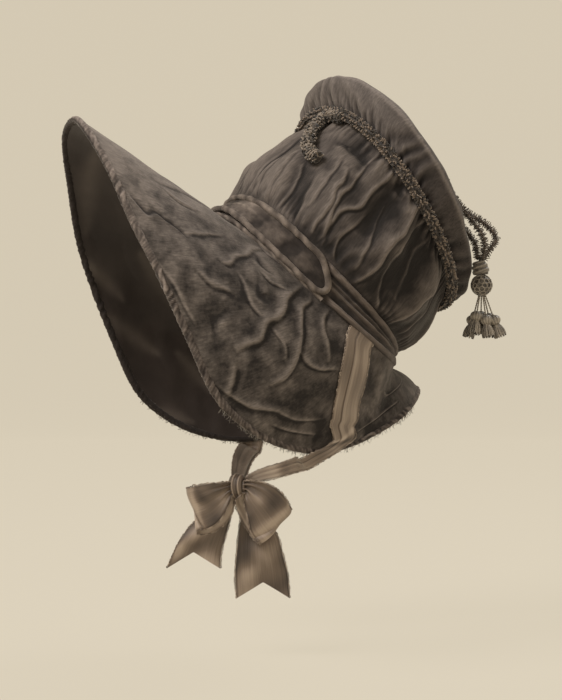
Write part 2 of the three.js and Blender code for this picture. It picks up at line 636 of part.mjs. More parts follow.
// Bow: knot, two loops and two notched tails, in the bow's own upright plane
const bowAcross = vector(Math.cos(radians(BOW_TURN)), Math.sin(radians(BOW_TURN)), 0);
const bowToward = vector(Math.sin(radians(BOW_TURN)), -Math.cos(radians(BOW_TURN)), 0);
const bowUp = vector(0, 0, 1);
const knotCentre = vector(KNOT.x, KNOT.y, KNOT.z);
const inBow = (across, up, depth) => knotCentre.clone().addScaledVector(bowAcross, across)
  .addScaledVector(bowUp, up).addScaledVector(bowToward, depth);
function addBow() {
  const knot = new THREE.SphereGeometry(1, 12, 8);
  knot.applyMatrix4(new THREE.Matrix4().makeBasis(
    bowAcross.clone().multiplyScalar(KNOT.halfWidth),
    bowUp.clone().multiplyScalar(KNOT.halfHeight),
    bowToward.clone().multiplyScalar(KNOT.halfDepth)));
  knot.translate(KNOT.x, KNOT.y, KNOT.z);
  add('bow_knot', knot, TIE_SILK);

  const addLoop = (name, rows) => {
    const centres = rows.map(({ across, up, depth }) => inBow(across, up, depth));
    const stations = rows.map(({ width, lean }, i) => {
      const along = centres[Math.min(i + 1, rows.length - 1)].clone()
        .sub(centres[Math.max(i - 1, 0)]).normalize();
      const across = bowUp.clone().multiplyScalar(Math.cos(radians(lean)))
        .addScaledVector(bowAcross, Math.sin(radians(lean)));
      across.addScaledVector(along, -across.dot(along)).normalize();
      return {
        left: centres[i].clone().addScaledVector(across, -width / 2),
        right: centres[i].clone().addScaledVector(across, width / 2),
        out: along.cross(across).normalize(),
      };
    });
    add(name, ribbon(stations), TIE_SILK);
  };
  addLoop('bow_loop_front', FRONT_LOOP);
  addLoop('bow_loop_back', BACK_LOOP);

  // A tail's rows run level, and its last row is bent up in the middle into the notch
  const addTail = (name, rows) => {
    const loops = rows.map(({ left, right, up, depth }, i) => {
      const notch = i === rows.length - 1 ? TAIL_NOTCH : 0;
      const line = [[left, up], [(left + right) / 2, up + notch], [right, up]];
      const near = line.map(([across, rise]) => inBow(across, rise, depth + RIBBON / 2));
      const far = line.map(([across, rise]) => inBow(across, rise, depth - RIBBON / 2));
      return [...near, ...far.reverse()];
    });
    add(name, skin(loops, false), TIE_SILK);
  };
  addTail('bow_tail_front', FRONT_TAIL);
  addTail('bow_tail_back', BACK_TAIL);
}

addBrim();
addBand();
addCrown();
addTassel();
addTie('tie_left', 1, LEFT_TIE_RUN);
addTie('tie_right', -1, RIGHT_TIE_RUN);
addBow();

export default bonnet;
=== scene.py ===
import math

import bmesh
import bpy
import numpy as np
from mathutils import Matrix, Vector


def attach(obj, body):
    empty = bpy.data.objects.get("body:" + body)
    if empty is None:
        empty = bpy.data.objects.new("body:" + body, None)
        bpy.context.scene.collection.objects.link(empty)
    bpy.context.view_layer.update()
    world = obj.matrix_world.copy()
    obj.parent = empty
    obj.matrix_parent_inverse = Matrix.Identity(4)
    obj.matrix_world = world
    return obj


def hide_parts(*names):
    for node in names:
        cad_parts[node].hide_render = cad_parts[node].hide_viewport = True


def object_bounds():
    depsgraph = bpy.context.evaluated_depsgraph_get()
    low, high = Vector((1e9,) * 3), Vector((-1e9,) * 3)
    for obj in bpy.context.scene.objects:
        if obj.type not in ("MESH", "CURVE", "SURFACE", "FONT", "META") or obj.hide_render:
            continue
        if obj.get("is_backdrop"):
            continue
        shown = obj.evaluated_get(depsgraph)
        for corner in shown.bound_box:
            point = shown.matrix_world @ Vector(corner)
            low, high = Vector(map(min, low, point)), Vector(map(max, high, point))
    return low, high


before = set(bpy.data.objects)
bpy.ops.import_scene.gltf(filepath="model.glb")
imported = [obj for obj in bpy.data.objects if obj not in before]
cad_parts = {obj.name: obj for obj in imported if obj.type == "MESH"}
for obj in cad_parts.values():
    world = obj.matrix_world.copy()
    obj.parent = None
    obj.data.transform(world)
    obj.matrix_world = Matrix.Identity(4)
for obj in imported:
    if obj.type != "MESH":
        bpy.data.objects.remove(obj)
cad_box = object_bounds()


# Studio: the bonnet hangs in front of a seamless pale sweep. It is seen a little ahead of its left
# side, at its own height, in soft light from the upper left, with a second light on the back of its
# crown.
VIEW_TURN = math.radians(67)
VIEW_DISTANCE, VIEW_LENS = 1.15, 76.8
VIEW_SHIFT, VIEW_HEIGHT = -0.014, -0.053
PAPER, PAPER_GLOW = (0.06, 0.054, 0.046), (0.612, 0.545, 0.424)
ROOM_COLOR, ROOM_STRENGTH = (1.0, 0.965, 0.93, 1), 0.32
LIGHTS = [  # right, up and toward the camera from the bonnet, in metres; size, watts, colour
    ("window", (-1.0, 1.35, 0.85), 0.7, 27, (1.0, 0.97, 0.935)),
    ("back_light", (0.9, 1.2, -0.5), 0.6, 9, (1.0, 0.97, 0.93)),
    ("fill", (0.9, 0.1, 1.7), 1.6, 2.5, (1.0, 0.98, 0.96)),
]
SWEEP_RADIUS, SWEEP_BEND, SWEEP_FLOOR, SWEEP_TOP, SWEEP_FLAT, SWEEP_SIDES = 4.0, 1.2, -0.29, 3.2, 1.5, 96
view_right = Vector((math.cos(VIEW_TURN), math.sin(VIEW_TURN), 0))
view_toward = Vector((math.sin(VIEW_TURN), -math.cos(VIEW_TURN), 0))
view_up = Vector((0, 0, 1))


def turned_to(way):
    """Rotation that turns a camera or a lamp to look along a way, with its top upwards."""
    return way.to_track_quat("-Z", "Y").to_euler()


scene = bpy.context.scene
scene.view_settings.view_transform = "Standard"
camera = bpy.data.objects.new("camera", bpy.data.cameras.new("camera"))
camera.data.lens = VIEW_LENS
camera.location = view_right * VIEW_SHIFT + view_up * VIEW_HEIGHT + view_toward * VIEW_DISTANCE
camera.rotation_euler = turned_to(-view_toward)
scene.collection.objects.link(camera)
scene.camera = camera
for name, (right, up, toward), size, watts, color in LIGHTS:
    lamp = bpy.data.lights.new(name, "AREA")
    lamp.size, lamp.energy, lamp.color = size, watts, color
    light = bpy.data.objects.new(name, lamp)
    light.location = view_right * right + view_up * up + view_toward * toward
    light.rotation_euler = turned_to(-light.location)
    light.visible_camera = False
    scene.collection.objects.link(light)
scene.world = bpy.data.worlds.new("room")
scene.world.use_nodes = True
room = scene.world.node_tree.nodes["Background"]
room.inputs["Color"].default_value = ROOM_COLOR
room.inputs["Strength"].default_value = ROOM_STRENGTH


def full_turn(count):
    """Angles of the points of a circle, in radians."""
    return np.linspace(0, 2 * np.pi, count, endpoint=False)


def grid_faces(rows, columns, round_rows=False, round_columns=False):
    """Corners of the squares of a grid of points, and each corner's own row and column, counted on
    past the last one where the grid closes on itself."""
    i, j = np.meshgrid(np.arange(rows - (not round_rows)),
                       np.arange(columns - (not round_columns)), indexing="ij")
    i, j = i.ravel(), j.ravel()
    corner_i = np.stack([i, i + 1, i + 1, i], 1)
    corner_j = np.stack([j, j, j + 1, j + 1], 1)
    return (corner_i % rows) * columns + corner_j % columns, corner_i, corner_j


def shell(points, face_sets, uv_sets=None, **fields):
    """Part of a mesh: points, arrays of faces with equal corner counts, corner UVs, and fields of one
    number for each point. The faces are turned round if they enclose less than nothing."""
    points = np.asarray(points, float).reshape(-1, 3)
    volume = sum(np.einsum("ij,ij->", points[f[:, 0]], np.cross(points[f[:, k]], points[f[:, k + 1]]))
                 for f in face_sets for k in range(1, f.shape[1] - 1))
    uv_sets = uv_sets or [np.zeros((*f.shape, 2)) for f in face_sets]
    if volume < 0:
        face_sets = [f[:, ::-1] for f in face_sets]
        uv_sets = [uv[:, ::-1] for uv in uv_sets]
    return points, face_sets, uv_sets, fields


def raise_mesh(name, *shells):
    """Object made of one or more shells, smooth, with their UV map and their fields."""
    mesh = bpy.data.meshes.new(name)
    starts = np.cumsum([0] + [len(points) for points, _, _, _ in shells])
    mesh.vertices.add(starts[-1])
    mesh.vertices.foreach_set("co", np.concatenate([points for points, _, _, _ in shells]).ravel())
    sets = [faces + start for (_, face_sets, _, _), start in zip(shells, starts) for faces in face_sets]
    corners = np.concatenate([faces.ravel() for faces in sets])
    counts = np.concatenate([np.full(len(faces), faces.shape[1]) for faces in sets])
    mesh.loops.add(len(corners))
    mesh.loops.foreach_set("vertex_index", corners)
    mesh.polygons.add(len(counts))
    mesh.polygons.foreach_set("loop_start", np.concatenate([[0], np.cumsum(counts)[:-1]]))
    mesh.polygons.foreach_set("use_smooth", np.ones(len(counts), bool))
    for key in shells[0][3]:
        values = [np.broadcast_to(np.ravel(fields[key]), len(points)) for points, _, _, fields in shells]
        mesh.attributes.new(key, "FLOAT", "POINT").data.foreach_set(
            "value", np.concatenate(values).astype(np.float32))
    uvs = [uv.reshape(-1, 2) for _, _, uv_sets, _ in shells for uv in uv_sets]
    mesh.uv_layers.new(name="cloth").data.foreach_set("uv", np.concatenate(uvs).ravel())
    mesh.update(calc_edges=True)
    made = bpy.data.objects.new(name, mesh)
    scene.collection.objects.link(made)
    return made


def add_node(tree, kind, inputs=(), **settings):
    """Shader node with its settings, its inputs set to values or joined to other nodes' sockets."""
    made = tree.nodes.new("ShaderNode" + kind)
    for key, value in settings.items():
        setattr(made, key, value)
    for key, value in dict(inputs).items():
        if isinstance(value, bpy.types.NodeSocket):
            tree.links.new(value, made.inputs[key])
        else:
            made.inputs[key].default_value = value
    return made


def new_material(name, roughness, **uniform):
    """Material with one Principled shader, whose numbers that are the same all over are set here."""
    made = bpy.data.materials.new(name)
    made.use_nodes = True
    shader = made.node_tree.nodes["Principled BSDF"]
    shader.inputs["Roughness"].default_value = roughness
    for key, value in uniform.items():
        shader.inputs[key.replace("_", " ")].default_value = value
    return made, made.node_tree, shader


bend = np.linspace(0, np.pi / 2, 16)
sweep_profile = np.concatenate([
    [[1e-5, SWEEP_FLOOR], [SWEEP_FLAT, SWEEP_FLOOR]],
    np.stack([SWEEP_RADIUS - SWEEP_BEND + SWEEP_BEND * np.sin(bend),
              SWEEP_FLOOR + SWEEP_BEND * (1 - np.cos(bend))], 1),
    [[SWEEP_RADIUS, SWEEP_TOP]]])
around = full_turn(SWEEP_SIDES)
sweep_points = np.stack([
    np.outer(np.cos(around), sweep_profile[:, 0]), np.outer(np.sin(around), sweep_profile[:, 0]),
    np.broadcast_to(sweep_profile[:, 1], (SWEEP_SIDES, len(sweep_profile)))], -1)
floor = raise_mesh("floor", shell(sweep_points, [grid_faces(SWEEP_SIDES, len(sweep_profile), True)[0]]))
floor.data.materials.append(new_material(
    "paper_sweep", 0.9, Base_Color=(*PAPER, 1), Emission_Color=(*PAPER_GLOW, 1),
    Emission_Strength=1.0)[0])
floor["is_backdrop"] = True


# Brim cover: silk velvet over card and wire, cut as one deep scoop and stretched from the crown's
# base to the wired edge. It has slipped and creased on the cheeks. Painted shade darkens its hollows,
# and painted highlight, partly rubbed wear, pales its ridges.
MM = 0.001
RINGS = {  # front and nape as (y, z), the wearer's left side as (x, y, z), in millimetres
    "seam": ((-73, 46), (88, 3, -37), (67, -66)),
    "band": ((-49, 60.5), (86, 0.5, -4.5), (70, -55)),
    "join": ((24, 129), (84, 59, 63), (117, -7)),
    "rim": ((22, 158), (92, 70, 79), (132, -13)),
}
EDGE_STEP = 15
EDGE = np.array([  # free edge of the brim at every step of turn in degrees, from front to nape
    (0, -180, 116), (30, -179, 105), (55, -169, 73), (73, -158, 34), (85, -144, -1),
    (90, -125, -45), (91, -105, -86), (90, -80, -109), (86, -50, -123), (79, -14, -128),
    (68, 26, -119), (50, 69, -101), (0, 102, -85)], float)
CLOTH, SATIN, FIT = 1.8, 1.0, 0.3
BINDING_RADIUS, UNDER_BINDING = 3.4, 1.35 * 3.4
BRIM_DEPTH, MM_PER_DEGREE = 110, 1.5
BRIM_AROUND, BRIM_ACROSS, UNDER_ACROSS = 700, 132, 8
BRIM_CREASES = [  # height, width, then (turn, reach) points
    (1.9, 1.5, (64.5, .06), (68, .21), (74, .36), (76, .46), (79, .58), (81, .75)),
    (1.7, 1.3, (69.5, .05), (74, .19), (80.5, .3), (86, .38), (90.5, .48), (94.5, .59), (94.5, .68)),
    (1.3, 1.2, (75.5, .02), (82.5, .14), (90.5, .23), (98.5, .31)),
    (0.88, 0.86, (79, .47), (83.5, .47), (88, .52)),
    (1.2, 1.3, (43.5, .07), (52.5, .35), (55.5, .46), (55, .52)),
    (0.96, 1.1, (59.5, .73), (62.5, .69), (64.5, .64), (66, .58)),
    (1.1, 1.1, (59.5, .46), (66.5, .49), (71, .5), (74, .49)),
    (0.96, 0.99, (59.5, .28), (63.5, .28), (66, .22)),
    (-1.2, 0.98, (36.5, .92), (39, .89), (41.5, .85), (40.5, .77), (42, .73), (44.5, .68), (47.5, .66)),
    (0.8, 1.1, (45, .64), (44.5, .58), (44.5, .5), (40.5, .32)),
    (0.96, 1.1, (28.5, .58), (31, .53), (31.5, .41)),
    (1.4, 1.6, (86.5, .94), (92, .91), (98.5, .87), (103.5, .79), (109, .76), (114, .74), (121.5, .66)),
    (0.8, 0.92, (56, .96), (63.5, .92), (68.5, .92), (72, .91)),
    (1.1, 1.2, (89, .42), (96.5, .4), (104.5, .28)),
    (1, 1.2, (39.5, .02), (47, .05), (53, .03)),
    (-1.1, 1.8, (50, .2), (55, .24), (60, .2)),
    (-1.2, 2, (62, .34), (66, .42), (70, .4)),
    (-0.99, 1.7, (70, .66), (72, .78), (76, .84)),
    (0.88, 1.1, (84, .78), (88, .86), (92, .93)),
    (1, 1.3, (108, .86), (116, .84), (124, .82)),
    (1.1, 1.3, (142, .8), (152, .7), (160, .66)),
    (0.96, 1.2, (146, .35), (156, .45), (168, .42)),
    (-0.99, 1.7, (12, .3), (14, .5), (13, .7)),
    (0.72, 1.2, (20, .16), (22, .4), (25, .62)),
]
TIE_ON_BRIM = np.array([  # reach, and the turn of the tie's front and back edge there
    (0.03, 89, 104), (0.16, 97, 114), (0.29, 104.5, 122.5), (0.45, 114, 129), (0.62, 123, 136),
    (0.8, 129.5, 138), (0.93, 132, 140)])


def unit(vectors):
    """Vectors divided by their lengths."""
    return vectors / np.maximum(np.linalg.norm(vectors, axis=-1, keepdims=True), 1e-9)


def bell(value, width, middle=0.0):
    """exp(-((value - middle) / width)^2), which is 1 at the middle and fades on both sides."""
    return np.exp(-((value - middle) / width) ** 2)


def smoothstep(value, low, high):
    """0 below low, 1 above high, and 3t^2 - 2t^3 between them."""
    share = np.clip((value - low) / (high - low), 0, 1)
    return share * share * (3 - 2 * share)


def spline(points, at, closed=False, pull=0.0):
    """Line through points by cubic arcs, at places counted in points. Each arc's end slopes are
    (b-a)/p - (c-a)/(p+q) + (c-b)/q, where p and q are the gaps' lengths to the power pull."""
    points, at = np.asarray(points, float), np.asarray(at, float)
    if closed:
        ring = np.concatenate([points[-1:], points, points[:3]])
        start = np.floor(at).astype(int) % len(points)
        f = (at - np.floor(at))[..., None]
    else:
        ring = np.concatenate([2 * points[:1] - points[1:2], points, 2 * points[-1:] - points[-2:-1]])
        start = np.clip(np.floor(at).astype(int), 0, len(points) - 2)
        f = (at - start)[..., None]
    a, b, c, d = (ring[start + k] for k in range(4))
    p, q, r = (np.maximum(np.linalg.norm(y - x, axis=-1, keepdims=True), 1e-6) ** pull
               for x, y in ((a, b), (b, c), (c, d)))
    leave = ((b - a) / p - (c - a) / (p + q) + (c - b) / q) * q
    arrive = ((c - b) / q - (d - b) / (q + r) + (d - c) / r) * q
    return ((2 * f ** 3 - 3 * f ** 2 + 1) * b + (f ** 3 - 2 * f ** 2 + f) * leave
            + (3 * f ** 2 - 2 * f ** 3) * c + (f ** 3 - f ** 2) * arrive)


def ring_point(name, turn):
    """Point of a ring at a turn from the front: an ellipse in height and depth whose sides are
    shifted by (1 - cos 2t) / 2, and the side's width times sin t."""
    front, side, nape = RINGS[name]
    angle = np.radians(turn)
    saddle = (1 - np.cos(2 * angle)) / 2
    parts = [side[0] * np.sin(angle)]
    for k in (0, 1):
        middle, half = (front[k] + nape[k]) / 2, (front[k] - nape[k]) / 2
        parts.append(middle + half * np.cos(angle) + (side[k + 1] - middle) * saddle)
    return np.stack(parts, -1)


def edge_point(turn):
    """Point of the brim's free edge, which is the same on both sides."""
    both = np.concatenate([EDGE, EDGE[-2:0:-1] * (-1, 1, 1)])
    return spline(both, np.mod(turn, 360) / EDGE_STEP, closed=True)


def away_from_front(turn):
    """Turn from the front, from 0 to 180 on either side."""
    return np.abs(np.mod(turn + 180, 360) - 180)


def band_frame(turn):
    """Foot of the band, the way up it, its width, and the way out of it."""
    low = ring_point("seam", turn)
    rise = ring_point("band", turn) - low
    width = np.linalg.norm(rise, axis=-1, keepdims=True)
    up = rise / width
    ahead = ring_point("seam", turn + 1) - ring_point("seam", turn - 1)
    return low, up, width, unit(np.cross(ahead, up))


def brim_form(turn, reach):
    """Smooth outer face of the brim: straight lines to the edge from just inside the band's foot,
    swelled by 4 r (1 - r) times a bulge that is greatest on the cheeks."""
    low, up, _, _ = band_frame(turn)
    away = away_from_front(turn)[..., None]
    start, end = low + up * 0.4, edge_point(turn)
    swell = 1.5 + 9 * bell(away, 35, 85) + 3 * bell(away, 25, 180)
    out = unit(np.cross(end - start, edge_point(turn + 2) - edge_point(turn - 2)))
    reach = np.asarray(reach)[..., None]
    return start + (end - start) * reach + out * 4 * swell * reach * (1 - reach)


def outward(form, turn, reach, flip=1.0):
    """Outward direction of a body surface, from its slopes in both parameters."""
    across = form(turn + 1.5, reach) - form(turn - 1.5, reach)
    along = form(turn, np.minimum(reach + 0.02, 1)) - form(turn, np.maximum(reach - 0.02, 0))
    return unit(np.cross(across, along)) * flip


def brim_share_within(turn, inset):
    """Reach at which the brim's face is still an inset, in millimetres, short of its edge."""
    return 1 - inset / np.linalg.norm(edge_point(turn) - ring_point("seam", turn), axis=-1)


def crease_relief(creases, turn, reach, depth, steep):
    """Height of folds over a surface. Each follows a line of (turn, reach) points with tapered ends.
    Across it, it falls as exp(-(d/w)^2) into a narrow trough on its steep side, and as
    exp(-(d/2.3w)^2) on the other. The second array is a colour mask: 1 on the crests as painted
    highlight, and -1 in the grooves and along the steep side as painted shade. The far side's folds
    are swung aside, and all waver a little."""
    total = np.zeros(np.broadcast(turn, reach).shape)
    crest = np.zeros(total.shape)
    swing = np.where(np.mod(turn + 180, 360) < 180, 3 * np.sin(4 * reach + turn / 24), 0.0)
    x = (away_from_front(turn) + swing) * MM_PER_DEGREE
    y = np.broadcast_to(reach * depth, total.shape)
    x, y = (x + 0.8 * np.cos(0.19 * y + 0.13 * x) + 0.25 * np.cos(0.43 * y - 0.31 * x),
            y + 0.8 * np.sin(0.17 * x + 0.09 * y) + 0.25 * np.cos(0.37 * x + 0.29 * y))
    for height, width, *points in creases:
        line = np.array(points, float) * (MM_PER_DEGREE, depth)
        line = spline(line, np.linspace(0, len(line) - 1, 4 * len(line)))
        near, place, across = np.full(total.shape, 1e9), np.zeros(total.shape), np.zeros(total.shape)
        steps = np.diff(line, axis=0)
        for k, (start, step) in enumerate(zip(line[:-1], steps)):
            share = np.clip(((x - start[0]) * step[0] + (y - start[1]) * step[1]) / (step @ step), 0, 1)
            dx, dy = x - start[0] - share * step[0], y - start[1] - share * step[1]
            off = np.hypot(dx, dy)
            closer = off < near
            place = np.where(closer, (k + share) / len(steps), place)
            across = np.where(closer, (dx * steep[0] + dy * steep[1]) / np.maximum(off, 1e-6), across)
            near = np.minimum(near, off)
        taper = np.sqrt(np.clip(4 * place * (1 - place) + 0.08, 0, 1))
        spread = width * (0.55 + 0.45 * taper)
        gentle = bell(near, 2.3 * spread)
        sharp = bell(near, spread) - 0.45 * bell(near, spread, 1.9 * spread)
        total += 0.85 * height * taper * (gentle + (sharp - gentle) * smoothstep(across, -0.4, 0.4))
        if width < 5:  # wider ones are soft swells with no line of their own
            crest += np.sign(height) * taper * bell(near, 0.75, 0.2)
            crest -= 0.9 * taper * bell(near, 0.8, 1.9) * smoothstep(across, -0.1, 0.3)
    return total, crest


def crumple(points, size, seed, waves=28):
    """Soft irregular height between about -1 and 1: a sum of cosine waves in space, whose
    directions and phases are drawn from a fixed seed and whose length is about size."""
    draw = np.random.default_rng(seed)
    ways = unit(draw.normal(size=(waves, 3))) * (2 * np.pi / size) * draw.uniform(0.6, 1.6, (waves, 1))
    phases = draw.uniform(0, 2 * np.pi, waves)
    total = np.zeros(points.shape[:-1])
    for way, phase in zip(ways, phases):
        total += np.cos(points @ way + phase)
    return total / math.sqrt(waves / 2) / 1.6


def stand_out(height, span_rows, span_columns):
    """How far a height stands above the mean of its surroundings, for painted highlights on ridges
    and painted shade in hollows. The grid closes on itself along its rows."""
    mean = height
    for _ in range(2):
        wide = sum(np.roll(mean, k, axis=0) for k in range(-span_rows, span_rows + 1))
        mean = wide / (2 * span_rows + 1)
        padded = np.pad(mean, ((0, 0), (span_columns, span_columns)), mode="edge")
        mean = sum(padded[:, k:k + mean.shape[1]] for k in range(2 * span_columns + 1))
        mean = mean / (2 * span_columns + 1)
    return height - mean


def brim_relief(turn, reach):
    """Height with its creases, the colour mask of painted highlights on the crests and painted shade in
    the grooves, and the height of the crumpled patches alone, which the inner side and the lining
    follow. The ties press the velvet flat."""
    spot = brim_form(turn, reach)
    away = away_from_front(turn)
    loose = smoothstep(away, 25, 60) * (1 - 0.5 * smoothstep(away, 150, 175))
    patches = crumple(spot, 60, 3) * 0.9 + crumple(spot * (1, 1, 0.5), 19, 4) * 0.3
    patches = patches * (0.25 + 0.75 * loose)
    folds, crest = crease_relief(BRIM_CREASES, turn, reach, BRIM_DEPTH, (0.85, 0.5))
    front, back = (np.interp(reach, TIE_ON_BRIM[:, 0], TIE_ON_BRIM[:, k]) for k in (1, 2))
    pressed = smoothstep(away, front - 5, front - 1) * (1 - smoothstep(away, back + 1, back + 5))
    fade = np.minimum(1, reach / 0.1) * np.minimum(1, (1 - reach) / 0.09)
    flat = fade * (1 - 0.9 * pressed)
    base = np.minimum(patches * flat, 0)
    return np.maximum((folds + patches) * flat, base - CLOTH + 0.5), crest * fade * (1 - pressed), base


def turns_dense(count, low, high):
    """Turns round the bonnet, closer together on both cheeks, where the cloth is creased."""
    fine = np.linspace(0, 360, 3601)
    away = away_from_front(fine)
    weight = 1 + 1.2 * smoothstep(away, low - 10, low + 5) * (1 - smoothstep(away, high - 5, high + 10))
    share = np.concatenate([[0], np.cumsum((weight[1:] + weight[:-1]) / 2)])
    return np.interp(np.arange(count) / count, share / share[-1], fine)


def there_and_back(ends, *counts):
    """Shares across a body's face and back under it, as a row: linear between the ends given."""
    return np.concatenate([np.linspace(*part) for part in zip(ends[:-1], ends[1:], counts)])[None, :]


def grid_shell(points, u, v, closed=(True, True), ends=(), turned=False, **fields):
    """Shell of a grid of points in millimetres, with the cloth's own metres for each row and column
    as UV, or as VU where the cloth is turned, and with end faces where it is open."""
    faces, i, j = grid_faces(*points.shape[:2], *closed)
    uv = np.stack([v[j], u[i]] if turned else [u[i], v[j]], -1)
    return shell(points * MM, [faces, *ends], [uv] + [np.zeros((*end.shape, 2)) for end in ends], **fields)


turn = turns_dense(BRIM_AROUND, 28, 132)[:, None]
away = away_from_front(turn)
share = there_and_back((0, 1, 0), BRIM_ACROSS, UNDER_ACROSS)
reach = share * brim_share_within(turn, UNDER_BINDING)
height, crest, base = brim_relief(turn, reach)
inner = (np.arange(share.shape[1]) >= BRIM_ACROSS)[None, :]
lift = np.where(inner, base - CLOTH, height)
cover_points = brim_form(turn, reach) + outward(brim_form, turn, reach, -1) * lift[..., None]
# Painted light, partly sun-fading: the velvet is painted paler towards the front and the edge, and a little
# darker towards the nape.
faded = 1.75 * bell(away, 44) * (0.35 + 0.65 * reach) - 0.1 * smoothstep(away, 100, 150)
# Painted shade and highlight: the relief field darkens the hollows and the creases' steep sides and pales the
# crests.
brim_cover = raise_mesh("brim_velvet", grid_shell(
    cover_points, np.append(turn[:, 0], 360) / 360 * 0.9, np.arange(share.shape[1] + 1) * 0.0009,
    relief=1.1 * stand_out(height, 4, 5) + 0.25 * stand_out(height, 16, 14) + 0.85 * crest,
    faded=faded))


def new_group(name, inputs, outputs):
    """Empty shader group with named inputs, each with its kind and default, and named outputs."""
    made = bpy.data.node_groups.new(name, "ShaderNodeTree")
    for label, kind, default in inputs:
        socket = made.interface.new_socket(label, in_out="INPUT", socket_type="NodeSocket" + kind)
        if default is not None:
            socket.default_value = default
    for label, kind in outputs:
        made.interface.new_socket(label, in_out="OUTPUT", socket_type="NodeSocket" + kind)
    return made, made.nodes.new("NodeGroupInput").outputs, made.nodes.new("NodeGroupOutput").inputs


def maths(tree, operation, *values):
    """Result of a Math node on numbers and sockets."""
    return add_node(tree, "Math", enumerate(values), operation=operation).outputs[0]


def span(tree, value, low, high, to_low=0.0, to_high=1.0, **settings):
    """Value carried from one range to another, and held at its ends."""
    return add_node(tree, "MapRange", {"Value": value, "From Min": low, "From Max": high,
                                       "To Min": to_low, "To Max": to_high}, **settings).outputs[0]


def blend(tree, share, low, high, **settings):
    """Colour at a share from low to high, which are colours or sockets."""
    low, high = ((*color, 1) if isinstance(color, tuple) else color for color in (low, high))
    return add_node(tree, "Mix", {0: share, 6: low, 7: high}, data_type="RGBA", **settings).outputs[2]


def noise(tree, place, scale, detail, roughness=0.5):
    """Cloudy noise between 0 and 1."""
    return add_node(tree, "TexNoise", {"Vector": place, "Scale": scale, "Detail": detail,
                                       "Roughness": roughness}).outputs["Fac"]


def field(tree, name):
    """Number that the mesh holds for each of its points."""
    return add_node(tree, "Attribute", attribute_name=name).outputs["Fac"]


def object_place(tree):
    """Place in the object's own metres."""
    return add_node(tree, "TexCoord").outputs["Object"]


def cloth_place(tree):
    """Place in the cloth's own metres along and across it."""
    return add_node(tree, "UVMap", uv_map="cloth").outputs["UV"]


def emboss(tree, shader, height, strength, distance=1.0):
    """Bumps the shader's normal by a height, in metres where the distance is 1."""
    bump = add_node(tree, "Bump", {"Height": height, "Strength": strength, "Distance": distance})
    tree.links.new(bump.outputs[0], shader.inputs["Normal"])


# Cloth shading and wear: painted shade darkens the hollows of its relief, it has its own colour between,
# and it is pale on its ridges as painted highlight, partly rubbed wear, and where its painted-light field
# is high, as painted light, partly fading. Uneven patches, whose size is given in metres, vary its tone.
cloth_shade_and_wear, take, give = new_group("cloth_shade_and_wear", [
    ("Relief", "Float", 0.0), ("Light And Fade", "Float", 0.0), ("Patch Size", "Float", 0.02),
    ("Patchiness", "Float", 0.5), ("Hollow Shade", "Color", None), ("Body", "Color", None),
    ("Ridge", "Color", None)], [("Color", "Color")])
often = maths(cloth_shade_and_wear, "DIVIDE", 1.0, take["Patch Size"])
patch = noise(cloth_shade_and_wear, object_place(cloth_shade_and_wear), often, 5.0, 0.62)
patchy = maths(cloth_shade_and_wear, "MULTIPLY", maths(cloth_shade_and_wear, "SUBTRACT", patch, 0.5), take["Patchiness"])
lifted = maths(cloth_shade_and_wear, "MULTIPLY_ADD", take["Relief"], 0.34, 0.42)
summed = maths(cloth_shade_and_wear, "ADD", lifted, patchy)
with_light_and_fade = maths(cloth_shade_and_wear, "MULTIPLY_ADD", take["Light And Fade"], 0.4, summed)
tone = add_node(cloth_shade_and_wear, "Clamp", {"Value": with_light_and_fade}).outputs[0]
dark_half = span(cloth_shade_and_wear, tone, 0.05, 0.5, interpolation_type="SMOOTHSTEP")
dark = blend(cloth_shade_and_wear, dark_half, take["Hollow Shade"], take["Body"])
pale = blend(cloth_shade_and_wear, span(cloth_shade_and_wear, tone, 0.45, 1.0), dark, take["Ridge"])
cloth_shade_and_wear.links.new(pale, give["Color"])

# Pile is short streaks of brushed velvet, with a fine grain for the tips. Its height is in metres.
pile, take, give = new_group("pile", [("Streak Length", "Float", 8.0), ("Depth", "Float", 0.0003)],
                             [("Streaks", "Float"), ("Height", "Float")])
stretch = add_node(pile, "CombineXYZ", {"X": take["Streak Length"], "Y": 1.0, "Z": 1.0}).outputs[0]
long_way = add_node(pile, "VectorMath", {0: cloth_place(pile), 1: stretch}, operation="MULTIPLY").outputs[0]
streak = noise(pile, long_way, 120.0, 5.0, 0.66)
both = maths(pile, "MULTIPLY_ADD", noise(pile, object_place(pile), 1900.0, 2.0), 0.55, streak)
pile.links.new(streak, give["Streaks"])
pile.links.new(maths(pile, "MULTIPLY", both, take["Depth"]), give["Height"])


def velvet(name, hollow_shade, body, ridge, patch_size=0.02, patchiness=0.9, depth=0.00035, sheen=0.24,
           streak_length=6.0):
    """Silk velvet: matt, with sheen at its turned-away parts, painted shade and highlight from its
    relief, and painted light, partly fading, from its painted-light field.
    """
    made, tree, shader = new_material(name, 0.82, Sheen_Weight=sheen, Sheen_Roughness=0.4,
                                      Sheen_Tint=(0.74, 0.66, 0.59, 1), Specular_IOR_Level=0.25)
    color = add_node(tree, "Group", node_tree=cloth_shade_and_wear, inputs={
        "Relief": field(tree, "relief"), "Light And Fade": field(tree, "faded"), "Patch Size": patch_size,
        "Patchiness": patchiness, "Hollow Shade": (*hollow_shade, 1), "Body": (*body, 1), "Ridge": (*ridge, 1)})
    nap = add_node(tree, "Group", {"Streak Length": streak_length, "Depth": depth}, node_tree=pile)
    streaks = span(tree, nap.outputs["Streaks"], 0.3, 0.7, 0.62, 1.4)
    streaked = blend(tree, 1.0, color.outputs["Color"], streaks, blend_type="MULTIPLY")
    tree.links.new(streaked, shader.inputs["Base Color"])
    emboss(tree, shader, nap.outputs["Height"], 0.9)
    return made


